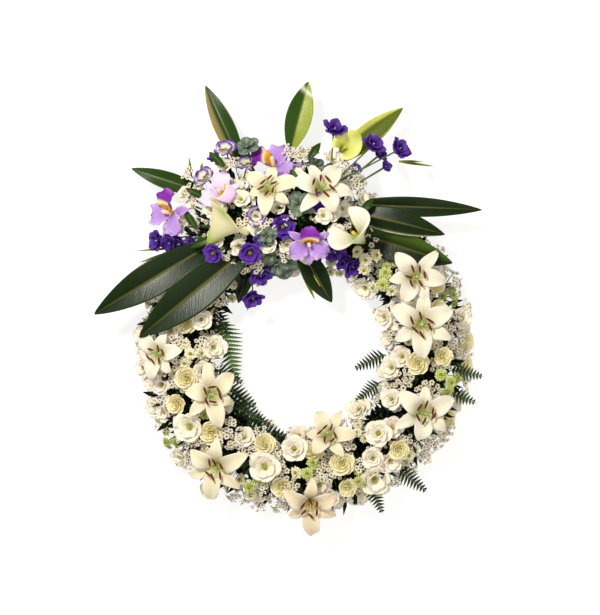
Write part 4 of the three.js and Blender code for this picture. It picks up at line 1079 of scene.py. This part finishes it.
def frond(soup, at, towards, length, green, move):
    """Leaflets leave the rib in pairs and slant forward. Each reaches a third of the length times a
    share that falls towards the tip, with a toothed edge: its half width rises and falls quickly along
    it. The whole frond arches. Returns the foot of its rib."""
    pairs = int(4 + length / 14)
    x = (np.arange(pairs) + 0.7) * length / (pairs + 1)
    reach = 0.33 * length * (1 - x / length) ** 0.7 * np.minimum(1, 0.5 + 3 * x / length)
    u = np.linspace(0, 1, 13)[None, :, None]
    v = np.linspace(-1, 1, 3)[None, None, :]
    teeth = 0.72 + 0.28 * (np.arange(13) % 2)[None, :, None]
    half = 0.5 * length / (pairs + 1) * teeth * (1 - 0.95 * u**1.6)
    for hand in (1, -1):
        out = reach[:, None, None] * u
        gx = x[:, None, None] + 0.35 * out + v * half
        gy = hand * (0.8 + out)
        gx, gy = np.broadcast_arrays(gx, gy)
        share = gx / length
        gz = 1.0 + 0.1 * length * (share - share**2) - 0.16 * np.abs(gy) + 0.6 * np.abs(v)
        grid = np.stack([gx, gy, gz], -1)
        grid = grid[:, :, ::-1] if hand > 0 else grid
        turned = spread(grid, np.full(pairs, towards)) + np.array([*at, FERN_HEIGHT]) + move
        uu, vv = uv_of(turned)
        tint = mix(rgb(green), rgb(green) * 1.9 + 0.004, 0.5 * uu * rng.random((pairs, 1, 1)))
        add_sheets(soup, turned, tint, 0.6, LEAF)
    share = np.linspace(0, 1, 14)
    rib = np.stack([share * length, 0 * share, 0.6 + 0.1 * length * (share - share**2)], -1)
    rib = spread(rib[None, None], [towards])[0, 0] + np.array([*at, FERN_HEIGHT]) + move
    add_tube(soup, rib, np.linspace(1.4, 0.4, 14), rgb("#55632e"), 6, STEM)
    return rib[0]


for k, (clock, leaves, green) in enumerate(FERNS):
    node = f"fern_{k + 1}"
    roots = np.array([[*at, FERN_HEIGHT] for at, towards, length in leaves])
    ways = np.radians([towards for at, towards, length in leaves])
    lengths = np.array([length for at, towards, length in leaves])
    tips = roots + np.stack([lengths * np.cos(ways), lengths * np.sin(ways), 0 * ways], -1)
    core = core_of("ring", np.cos(np.radians(clock)), np.sin(np.radians(clock)))
    fork = core + unit(roots.mean(0) - core) * (RING_SURFACE + FERN_FORK)
    move = move_of(node, "ring", fork, tips)
    soup = Soup()
    for at, towards, length in leaves:
        add_branch(soup, fork + move, frond(soup, at, towards, length, green, move), 1.6, 6)
    add_stem(soup, "ring", fork + move)
    mesh_piece(node + "_fine", soup, "fern", node)
print("hung", sum(len(leaves) for clock, leaves, green in FERNS), "fronds")

# %% More fronds at the hole
MORE_FRONDS = [
    ((-197, -42), 331, 72),
    ((-184, -76), 326, 96),
    ((-160, -128), 334, 98),
    ((-114, -192), 352, 84),
    ((-204, 96), 300, 80),
]
soup = Soup()
for at, towards, length in MORE_FRONDS:
    start = frond(soup, at, towards, length, "#22381a", 5 * UP)
    core = core_of("ring", *at)
    add_tube(soup, [core + unit(start - core) * STEM_STOP, start], [1.4, 1.4], STEM_GREEN, 6, STEM)
mesh_piece("more_fronds", soup, "fern")

# %% [markdown]
# ## Foam, tray and the greenery that hides them
#
# The tray is a shallow moulded channel, and the foam ring fills it. A florist covers the foam with short
# leafy cuttings before the blooms go in, so that only dark green shows in the gaps.

# %% Tray and foam
def add_ring(soup, profile, tint, sides=160):
    """A closed profile, as (outward, upward) points, turned once round the wreath's axis."""
    profile = np.array(profile, float)
    angle = 2 * np.pi * np.arange(sides) / sides
    far = RING_RADIUS + profile[:, 0]
    points = np.stack(
        [
            far[:, None] * np.cos(angle),
            far[:, None] * np.sin(angle),
            np.broadcast_to(profile[:, 1:2], (len(profile), sides)),
        ],
        -1,
    )
    grid = np.arange(len(profile) * sides).reshape(len(profile), sides)
    below = np.roll(grid, -1, axis=0)
    faces = np.stack([grid, np.roll(grid, -1, axis=1), np.roll(below, -1, axis=1), below], -1).reshape(-1, 4)
    soup.add(points, [faces], tint, None, STEM)


TRAY_GREEN, FOAM_GREEN = rgb("#24402a"), rgb("#2f4a2b")
BEVEL_OUT, BEVEL_DOWN = 7.0, 5.0
inset = SEAT_GAP + TRAY_WALL
half_foam, half_tray = FOAM_WIDTH / 2, FOAM_WIDTH / 2 + inset
tray = Soup()
add_ring(
    tray,
    [
        (-half_tray, 0),
        (half_tray, 0),
        (half_tray, TRAY_HEIGHT),
        (half_tray - TRAY_WALL, TRAY_HEIGHT),
        (half_tray - TRAY_WALL, TRAY_WALL),
        (TRAY_WALL - half_tray, TRAY_WALL),
        (TRAY_WALL - half_tray, TRAY_HEIGHT),
        (-half_tray, TRAY_HEIGHT),
    ],
    TRAY_GREEN,
)
tray_piece = mesh_piece("tray_fine", tray, "tray", "base_tray")
foam = Soup()
add_ring(
    foam,
    [
        (-half_foam, inset),
        (half_foam, inset),
        (half_foam, FOAM_SHOULDER),
        (FOAM_CROWN / 2 + BEVEL_OUT, FOAM_TOP - BEVEL_DOWN),
        (FOAM_CROWN / 2, FOAM_TOP),
        (-FOAM_CROWN / 2, FOAM_TOP),
        (-FOAM_CROWN / 2 - BEVEL_OUT, FOAM_TOP - BEVEL_DOWN),
        (-half_foam, FOAM_SHOULDER),
    ],
    FOAM_GREEN,
)
foam_piece = mesh_piece("foam_fine", foam, "foam", "foam_ring")
for flat in (tray_piece, foam_piece):
    flat.data.polygons.foreach_set("use_smooth", np.zeros(len(flat.data.polygons), bool))

# %% Leafy cuttings over the foam
def add_cuttings(soup, feet, ways, lengths, tint):
    """Short pointed leaves, each a flattened six-cornered solid from its foot along its way, turned at
    random."""
    n = len(feet)
    side = unit(np.cross(ways, rng.normal(size=(n, 3))))
    flat = np.cross(side, ways)
    along = np.array([0, 0.45, 1.0, 0.45, 0.45, 0.45])
    across = np.array([0, 0.17, 0, -0.17, 0, 0])
    proud = np.array([0, 0, 0, 0, 0.03, -0.02])
    scaled = lengths[:, None, None]
    points = (
        feet[:, None]
        + scaled * along[None, :, None] * ways[:, None]
        + scaled * across[None, :, None] * side[:, None]
        + scaled * proud[None, :, None] * flat[:, None]
    )
    one = [(4, i, (i + 1) % 4) for i in range(4)] + [(5, (i + 1) % 4, i) for i in range(4)]
    faces = (np.array(one)[None] + (6 * np.arange(n))[:, None, None]).reshape(-1, 3)
    soup.add(points.reshape(-1, 3), [faces], np.repeat(tint, 6, axis=0), None, LEAF)


def cutting_tints(n):
    """Near-black greens with some spread, a few of them lighter: leaf colour with the shade of the gaps
    between blooms painted in.
    """
    lighter = (rng.random(n) < 0.12) * rng.random(n)
    return mix(rgb("#0c170b") * (0.6 + 0.8 * rng.random((n, 1))), rgb("#3f5a28"), lighter)


def kept_up(ways, feet, longest):
    """Ways raised so far that the tip of a longest cutting stays clear of the floor."""
    raised = np.maximum(ways[:, 2], (FLOOR_CLEARANCE - feet[:, 2]) / longest)
    return np.concatenate([ways[:, :2], raised[:, None]], axis=1)


FLOOR_CLEARANCE, LOWEST_FOOT, FURTHEST_TILT = 6.0, 12.0, 118
SHORTEST_CUTTING, LONGEST_CUTTING = 20, 38
greens = Soup()
count = 5200
turn = rng.uniform(0, 2 * np.pi, count)
tilt = np.radians(rng.uniform(-FURTHEST_TILT, FURTHEST_TILT, count))
spoke = np.stack([np.cos(turn), np.sin(turn), 0 * turn], -1)
normal = spoke * np.sin(tilt)[:, None] + UP * np.cos(tilt)[:, None]
core_points = spoke * RING_RADIUS + UP * RING_CORE_HEIGHT
feet = core_points + normal * rng.uniform(30, 40, (count, 1))
ways = unit(normal + 0.55 * rng.normal(size=(count, 3)))
feet[:, 2] = np.maximum(feet[:, 2], LOWEST_FOOT)
ways = kept_up(ways, feet, LONGEST_CUTTING)
lengths = rng.uniform(SHORTEST_CUTTING, LONGEST_CUTTING, count)
add_cuttings(greens, feet, ways, lengths, cutting_tints(count))
mesh_piece("ring_greens", greens, "fern")

# %% The crest's block and its cuttings
block = Soup()
corner = np.array([[sx, sy, sz] for sx in (-1, 1) for sy in (-1, 1) for sz in (-1, 1)], float)
size = np.array([CREST_LENGTH, CREST_WIDTH, CREST_HEIGHT]) / 2
turned = np.array([[crest_axis[0], -crest_axis[1], 0], [crest_axis[1], crest_axis[0], 0], [0, 0, 1]])
block_centre = np.array([*CREST_CENTRE, CREST_BASE + CREST_HEIGHT / 2])
block.stand(turned, block_centre)
box_faces = np.array([(0, 1, 3, 2), (4, 6, 7, 5), (0, 4, 5, 1), (2, 3, 7, 6), (0, 2, 6, 4), (1, 5, 7, 3)])
block.add(corner * size, [box_faces], FOAM_GREEN, None, STEM)
block_piece = mesh_piece("crest_foam_fine", block, "foam", "crest_foam")
block_piece.data.polygons.foreach_set("use_smooth", np.zeros(6, bool))

CREST_FOOT_SHARE = 0.94
crest_greens = Soup()
count = 2600
seed = rng.normal(size=(count, 3))
seed[:, 2] = np.abs(seed[:, 2])
way = unit(seed)
feet = way / np.abs(way / size).max(1, keepdims=True) * CREST_FOOT_SHARE
crest_greens.stand(turned, block_centre)
ways = unit(way + 0.5 * rng.normal(size=(count, 3)))
add_cuttings(crest_greens, feet, ways, rng.uniform(26, 52, count), cutting_tints(count))
mesh_piece("crest_greens", crest_greens, "fern")

# %% [markdown]
# ## Blooms and tufts past the frame's limits
#
# The real wreath is so full that little green shows. The frame holds the blooms that give the wreath its
# look, and its limits leave the many small ones between them to this script: tufts of filler flowers,
# more small roses, cups and buttons, eucalyptus tips and narrow leaves. Each one goes where the heads
# that already stand leave it room, a little lower than they are.

# %% Room that is left
GIRTHS = dict(lily=44, rose=31, lisianthus=32, santini=32, filler=32)
GIRTHS.update(cattleya=40, calla=34, gladiolus=24, eucalyptus=28)
middles = [place for place, kind, size in standing]
girths = [GIRTHS[kind] * size for place, kind, size in standing]
for at, towards, length in [leaf for clock, leaves, green in FERNS for leaf in leaves] + MORE_FRONDS:
    way = np.array([np.cos(np.radians(towards)), np.sin(np.radians(towards)), 0])
    for share in (0.2, 0.5, 0.8):
        middles.append(np.array([*at, FERN_HEIGHT + 8.0]) + share * length * way)
        girths.append(0.2 * length)

# Dark gaps of the photo, which stay free.
GAPS = [(-249, 27), (-289, -104), (-259, -142), (-171, -297), (-131, -263)]
GAPS += [(241, -73), (167, -152), (125, -222), (229, -179), (214, -269), (151, 112), (304, 120), (237, -265)]
GAP_HEIGHT, GAP_GIRTH = 112.0, 20.0
middles += [np.array([x, y, GAP_HEIGHT]) for x, y in GAPS]
girths += [GAP_GIRTH] * len(GAPS)
BAND_INNER, BAND_OUTER = 176, 372
OVAL_CENTRE, OVAL_HALF_LENGTH, OVAL_HALF_WIDTH = np.array([-84.0, 308.0]), 226, 128
HOLLOW_CENTRE, HOLLOW_SIZE = np.array([-50.0, 236.0]), np.array([85.0, 62.0])


def crowding(point, girth):
    """The least distance from a point to a standing head's middle, as a share of their two girths
    together."""
    far = np.linalg.norm(np.array(middles) - point, axis=1)
    return (far / (np.array(girths) + girth)).min()


# %% Places drawn at random, and one more head
def ring_place():
    """A place drawn evenly over the band that the ring's blooms cover."""
    angle, far = rng.uniform(0, 2 * np.pi), np.sqrt(rng.uniform(BAND_INNER**2, BAND_OUTER**2))
    return "ring", far * np.cos(angle), far * np.sin(angle)


def crest_place():
    """A place drawn evenly over the long oval that the crest covers."""
    angle, far = rng.uniform(0, 2 * np.pi), np.sqrt(rng.uniform(0, 1))
    along, across = OVAL_HALF_LENGTH * far * np.cos(angle), OVAL_HALF_WIDTH * far * np.sin(angle)
    x, y = OVAL_CENTRE + along * crest_axis + across * np.array([-crest_axis[1], crest_axis[0]])
    return "crest", x, y


def crest_tuft_place():
    """A place on the crest, seldom in the dark hollow at its foot."""
    while True:
        bed, x, y = crest_place()
        hollow = np.linalg.norm((np.array([x, y]) - HOLLOW_CENTRE) / HOLLOW_SIZE) < 1
        if not hollow or rng.random() < 0.25:
            return bed, x, y


def add_head(soup, kind_name, bed, x, y, reach, size, spin, look=None):
    """One more head of a kind on its own stem, and its place kept for what comes next."""
    kind = KINDS[kind_name]
    core, outward, facing, face = place_over(bed, x, y, reach)
    foot = face - facing * kind["depth"] * size
    soup.stand(basis_for(facing, spin) * size, foot)
    MAKERS[kind_name](soup, look)
    soup.stand(np.eye(3), np.zeros(3))
    add_stem(soup, bed, foot + facing * kind["sink"] * size)
    middles.append(face)
    girths.append(GIRTHS[kind_name] * size)


# %% More small blooms
# Places are angles round the ring and distances out from its core line.
ROSE_PLACES = [(167, 4), (236, 121), (206, 92), (340, -8), (16, 46), (222, 14)]
LISIANTHUS_PLACES = [(193, 84), (276, 40), (239, 30), (320, 18), (2, 8), (40, 40), (340, 92), (172, 38)]
BLUSH_PLACES = [(200, 107), (220, 123), (249, 93), (204, 82), (194, 66), (282, 84), (323, 72)]
BLUSH_PLACES += [(35, 86), (28, 20)]
LIME_PLACES = [(20, 80), (22, 108), (272, 28), (214, 100), (338, -29), (292, 47), (342, 8)]
CREAM_PLACES = [(301, 16), (224, 96), (200, 30), (256, 36)]
# A row has a piece's name, its kind, given places, a size, how many more to draw, and the looks in turn.
MORE = [
    ("rose", "rose", ROSE_PLACES, 0.66, 8, [None]),
    ("lisianthus", "lisianthus", LISIANTHUS_PLACES, 0.66, 9, [None, "open"] * 9),
    ("santini", "santini", LIME_PLACES + CREAM_PLACES, 0.85, 7, ["lime"] * 2 + [None] * 5 + ["cream"]),
    ("blush", "lisianthus", BLUSH_PLACES, 0.58, 15, ["blush"]),
]
GIVEN_CLEAR, DRAWN_CLEAR, CREST_FOOT = 0.6, 0.76, 190
for name, kind, places, size, more, looks in MORE:
    soup = Soup()
    clocks, outs = np.array(places, float).T
    angles, far = np.radians(clocks), RING_RADIUS + outs
    tries = [("ring", x, y, GIVEN_CLEAR) for x, y in zip(far * np.cos(angles), far * np.sin(angles))]
    tries += [(*ring_place(), DRAWN_CLEAR) for _ in range(500)]
    made = 0
    for bed, x, y, clear in tries:
        reach = rng.uniform(86, 96)
        roomy = crowding(place_over(bed, x, y, reach)[3], GIRTHS[kind] * size) > clear
        if y < CREST_FOOT and roomy and made < len(places) + more:
            look = looks[min(made, len(looks) - 1)]
            add_head(soup, kind, bed, x, y, reach, size * rng.uniform(0.9, 1.08), rng.uniform(0, 360), look)
            made += 1
    mesh_piece("more_" + name, soup, kind)
    print("added", made, "small heads of", name)

# %% More shoots, violets and cups on the crest
shoots = Soup()
for x, y, size in [(-128, 452, 0.8), (-12, 318, 0.8), (-84, 246, 0.7), (-60, 176, 0.7), (24, 410, 0.6)]:
    add_head(shoots, "eucalyptus", "crest", x, y, 112, size, rng.uniform(0, 360))
mesh_piece("more_eucalyptus", shoots, "eucalyptus")

violets = Soup()
VIOLETS = [(-299, 232, 0.8), (-84, 174, 0.6), (86, 192, 0.7), (178, 401, 0.5)]
VIOLETS += [(113, 398, 0.45), (21, 328, 0.55), (166, 428, 0.6), (34, 306, 0.5)]
VIOLETS += [(-200, 420, 0.5), (-98, 238, 0.5), (-250, 232, 0.6), (40, 232, 0.55)]
for x, y, size in VIOLETS:
    add_head(violets, "gladiolus", "crest", x, y, 106, size, rng.uniform(0, 360))
mesh_piece("more_violet", violets, "violet")

cups = Soup()
CUPS = [(-252, 318), (-216, 300), (-140, 330), (-20, 380), (-246, 272), (60, 300), (-60, 310), (130, 330)]
CUPS += [crest_place()[1:] for _ in range(60)]
CUP_GIRTH, CUP_CLEAR = 17, 0.62
for x, y in CUPS:
    reach = rng.uniform(96, 116)
    if crowding(place_over("crest", x, y, reach)[3], CUP_GIRTH) > CUP_CLEAR:
        size, spin = rng.uniform(0.42, 0.58), rng.uniform(0, 360)
        add_head(cups, "lisianthus", "crest", x, y, reach, size, spin, "open")
mesh_piece("more_cups", cups, "lisianthus")

# %% Tufts of filler flowers
TUFT_GIRTH, TUFT_RADIUS, TUFT_DEPTH, GOLDEN_ANGLE = 13, 16, 24, 2.4


def add_stalks(soup, starts, ends, radius):
    """Many thin three-sided stalks at once, each a closed prism from its start to its end."""
    n = len(starts)
    along = unit(ends - starts)
    side = unit(np.cross(along, rng.normal(size=(n, 3))))
    other = np.cross(along, side)
    angle = 2 * np.pi * np.arange(3) / 3
    ring = side[:, None] * np.cos(angle)[None, :, None] + other[:, None] * np.sin(angle)[None, :, None]
    ring = radius * ring
    points = np.concatenate([starts[:, None] + ring, ends[:, None] + ring], axis=1)
    walls = np.array([(0, 1, 4, 3), (1, 2, 5, 4), (2, 0, 3, 5)])
    caps = np.array([(2, 1, 0), (3, 4, 5)])
    steps = (6 * np.arange(n))[:, None, None]
    soup.add(points, [(walls + steps).reshape(-1, 4), (caps + steps).reshape(-1, 3)], STEM_GREEN, None, STEM)


def add_tufts(name, draw, wanted, clear, reaches, given=()):
    """Tufts of seven florets on a shallow dome, at given places and at random ones that are clear
    enough, with a stem into the foam. A floret's place on the dome follows the golden angle."""
    soup = Soup()
    faces, facings, cores = [], [], []
    for k in range(wanted * 25):
        bed, x, y = given[k] if k < len(given) else draw()
        core, outward, facing, face = place_over(bed, x, y, rng.uniform(*reaches))
        if k < len(given) or (len(faces) < wanted and crowding(face, TUFT_GIRTH) > clear):
            faces.append(face)
            facings.append(facing)
            cores.append(core + outward * STEM_STOP)
            middles.append(face)
            girths.append(TUFT_GIRTH)
    faces, facings, cores = np.array(faces), np.array(facings), np.array(cores)
    n, each = len(faces), 7
    k = np.arange(each)
    far = TUFT_RADIUS * np.sqrt((k + 0.5) / each)[None] * rng.uniform(0.85, 1.2, (n, each))
    angle = GOLDEN_ANGLE * k[None] + rng.uniform(0, 6.28, (n, 1))
    right = unit(np.cross(facings, rng.normal(size=(n, 3))))
    ahead = np.cross(facings, right)
    dome = -(far**2) / 60 + rng.normal(0, 3.4, (n, each))
    spots = (
        faces[:, None]
        + (far * np.cos(angle))[..., None] * right[:, None]
        + (far * np.sin(angle))[..., None] * ahead[:, None]
        + dome[..., None] * facings[:, None]
    )
    ways = unit(facings[:, None] + (spots - faces[:, None]) * 0.02 + 0.22 * rng.normal(size=spots.shape))
    forks = faces - TUFT_DEPTH * facings
    add_florets(soup, spots.reshape(-1, 3), ways.reshape(-1, 3), rng.uniform(5.2, 8.2, n * each))
    add_stalks(soup, np.repeat(forks, each, axis=0), (spots - 0.5 * ways).reshape(-1, 3), 0.5)
    add_stalks(soup, cores, forks, 1.0)
    mesh_piece(name, soup, "filler")
    print(name, "holds", n, "tufts")


def ring_tuft_place():
    """A place on the ring, off the crest's part of it."""
    while True:
        bed, x, y = ring_place()
        if not (-200 < x < 120 and y > 150):
            return bed, x, y


add_tufts("ring_tufts", ring_tuft_place, 215, 0.68, (76, 96))
EDGE_TUFTS = [(-36, 436), (-8, 432), (18, 440), (-258, 388), (-236, 352), (-262, 350)]
EDGE_TUFTS += [(128, 366), (118, 392), (96, 402)]
add_tufts("crest_tufts", crest_tuft_place, 48, 0.74, (88, 112), [("crest", x, y) for x, y in EDGE_TUFTS])

# %% Leaves between the blooms
SPRIG_MIDDLE, SPRIG_GIRTH, SPRIG_CLEAR = 26, 8, 0.8
SPRIG_LENGTHS, LONGEST_SPRIG = (24, 42), 44
OUTER_SHARE, INNER_OVAL = 0.78, 0.75


def rim_place():
    """A place near the ring's outer rim, or less often near its inner one."""
    angle = rng.uniform(0, 2 * np.pi)
    out = rng.uniform(44, 80) if rng.random() < OUTER_SHARE else -rng.uniform(36, 50)
    return "ring", (RING_RADIUS + out) * np.cos(angle), (RING_RADIUS + out) * np.sin(angle)


def inner_crest_place():
    """A place on the crest that keeps off its edge by a quarter of the way to the middle."""
    bed, x, y = crest_place()
    x, y = OVAL_CENTRE + INNER_OVAL * (np.array([x, y]) - OVAL_CENTRE)
    return bed, x, y


def add_sprigs(name, draw, count, reaches):
    """Leafy cuttings on stalks, where no bloom is in the way. Each leaf's foot stands a reach from the
    core line, and the leaf points on outwards with some scatter, but never down to the floor."""
    soup = Soup()
    drawn = [place_over(*draw(), rng.uniform(*reaches)) for _ in range(count)]
    spots = []
    for core, outward, facing, face in drawn:
        if crowding(face + SPRIG_MIDDLE * outward, SPRIG_GIRTH) > SPRIG_CLEAR:
            spots.append((core + outward * STEM_STOP, outward, face))
    starts, outward, feet = (np.array(part) for part in zip(*spots))
    n = len(spots)
    ways = kept_up(unit(outward + 0.45 * rng.normal(size=(n, 3))), feet, LONGEST_SPRIG)
    add_cuttings(soup, feet, ways, rng.uniform(*SPRIG_LENGTHS, n), 1.3 * cutting_tints(n))
    add_stalks(soup, starts, feet, 0.8)
    mesh_piece(name, soup, "fern")
    print(name, "holds", n, "cuttings")


add_sprigs("rim_leaves", rim_place, 1600, (58, 82))
add_sprigs("crest_leaves", inner_crest_place, 1000, (58, 90))

# %% Grasses and small leaves
GRASSES = [
    ((-16, 196, 104), (22, 108, 96), 11),
    ((-4, 190, 106), (44, 116, 98), 9),
    ((-286, 216, 96), (-366, 190, 96), 7),
    ((-286, 222, 98), (-372, 216, 98), 5),
    ((-112, 120, 96), (-128, 84, 92), 7),
    ((-250, 380, 100), (-256, 424, 98), 6),
    ((-230, 392, 100), (-226, 410, 98), 6),
    ((206, 412, 112), (284, 402, 112), 6),
    ((206, 414, 112), (262, 412, 114), 4),
]
SMALL_LEAVES = [
    ((-214, 330, 150), (-262, 352, 144)),
    ((-176, 400, 150), (-210, 432, 140)),
    ((-206, 244, 170), (-250, 222, 160)),
    ((-96, 250, 196), (-70, 222, 180)),
    ((8, 416, 150), (34, 452, 142)),
    ((-30, 392, 176), (-16, 350, 178)),
    ((122, 300, 160), (150, 330, 150)),
    ((-262, 300, 140), (-236, 262, 150)),
    ((-132, 300, 172), (-112, 330, 168)),
    ((-24, 300, 180), (4, 276, 176)),
    ((-150, 232, 160), (-176, 262, 166)),
    ((60, 286, 170), (72, 322, 168)),
]
slim = Soup()
for root, tip, width in GRASSES:
    strap_leaf(slim, dict(root=root, tip=tip, width=width, arch=4, look="lime"), np.zeros(3))
for root, tip in SMALL_LEAVES:
    strap_leaf(slim, dict(root=root, tip=tip, width=17, arch=5, look="mid"), np.zeros(3))
mesh_piece("narrow_leaves", slim, "strap")

# %% [markdown]
# ## Floor, light and camera
#
# The wreath lies on a plain white floor. A warm key light from the upper left gives the shadows, a wide
# fill light from the lower right softens them, and the camera hangs seven metres above and looks
# straight down, which is the photo's square-on view of the face.

# %% Floor and light
floor_mesh = bpy.data.meshes.new("floor")
FLOOR_HALF, WARM_WHITE, WARM_SKY = 6.0, (1.0, 0.95, 0.86), (1.0, 0.94, 0.83, 1.0)
floor_corners = [(FLOOR_HALF * x, FLOOR_HALF * y, 0) for x, y in [(-1, -1), (1, -1), (1, 1), (-1, 1)]]
floor_mesh.from_pydata(floor_corners, [], [(0, 1, 2, 3)])
floor_material, _, _, floor_shader = plain_material("floor", 0.9, (0.4, 0.4, 0.4))
floor_shader.inputs["Specular IOR Level"].default_value = 0.0
floor_shader.inputs["Emission Color"].default_value = (1.0, 1.0, 1.0, 1.0)
floor_shader.inputs["Emission Strength"].default_value = 0.78
floor_mesh.materials.append(floor_material)
floor = bpy.data.objects.new("floor", floor_mesh)
bpy.context.scene.collection.objects.link(floor)

world = bpy.data.worlds.new("soft sky")
bpy.context.scene.world = world
world.use_nodes = True
sky = world.node_tree.nodes["Background"]
sky.inputs["Color"].default_value = WARM_SKY
sky.inputs["Strength"].default_value = 0.42
bpy.context.scene.view_settings.view_transform = "Standard"


def area_light(name, location, size, power):
    """A square light at a place, turned to look at the origin."""
    light = bpy.data.lights.new(name, "AREA")
    light.size = size
    light.energy = power
    light.color = WARM_WHITE
    lamp = bpy.data.objects.new(name, light)
    lamp.location = location
    lamp.rotation_mode = "QUATERNION"
    lamp.rotation_quaternion = (-Vector(location)).to_track_quat("-Z", "Y")
    bpy.context.scene.collection.objects.link(lamp)


area_light("key", (-0.9, 1.1, 2.8), size=0.5, power=78)
area_light("fill", (1.4, -1.4, 2.2), size=2.0, power=18)

# %% Camera
PHOTO_WIDTH, PHOTO_HEIGHT, MM_PER_PIXEL = 600, 615, 2.2
RING_PIXEL = np.array([305.0, 349.0])
VIEW_HEIGHT, FACE_HEIGHT, SENSOR_WIDTH = 7.0, 0.11, 36.0
camera = bpy.data.cameras.new("camera")
camera.sensor_fit = "HORIZONTAL"
camera.sensor_width = SENSOR_WIDTH
camera.lens = SENSOR_WIDTH * (VIEW_HEIGHT - FACE_HEIGHT) / (PHOTO_WIDTH * MM_PER_PIXEL * MM)
eye = bpy.data.objects.new("camera", camera)
aside = (PHOTO_WIDTH / 2 - RING_PIXEL[0]) * MM_PER_PIXEL * MM
ahead = (RING_PIXEL[1] - PHOTO_HEIGHT / 2) * MM_PER_PIXEL * MM
eye.location = (ring_centre[0] + aside, ring_centre[1] + ahead, VIEW_HEIGHT)
bpy.context.scene.collection.objects.link(eye)
bpy.context.scene.camera = eye
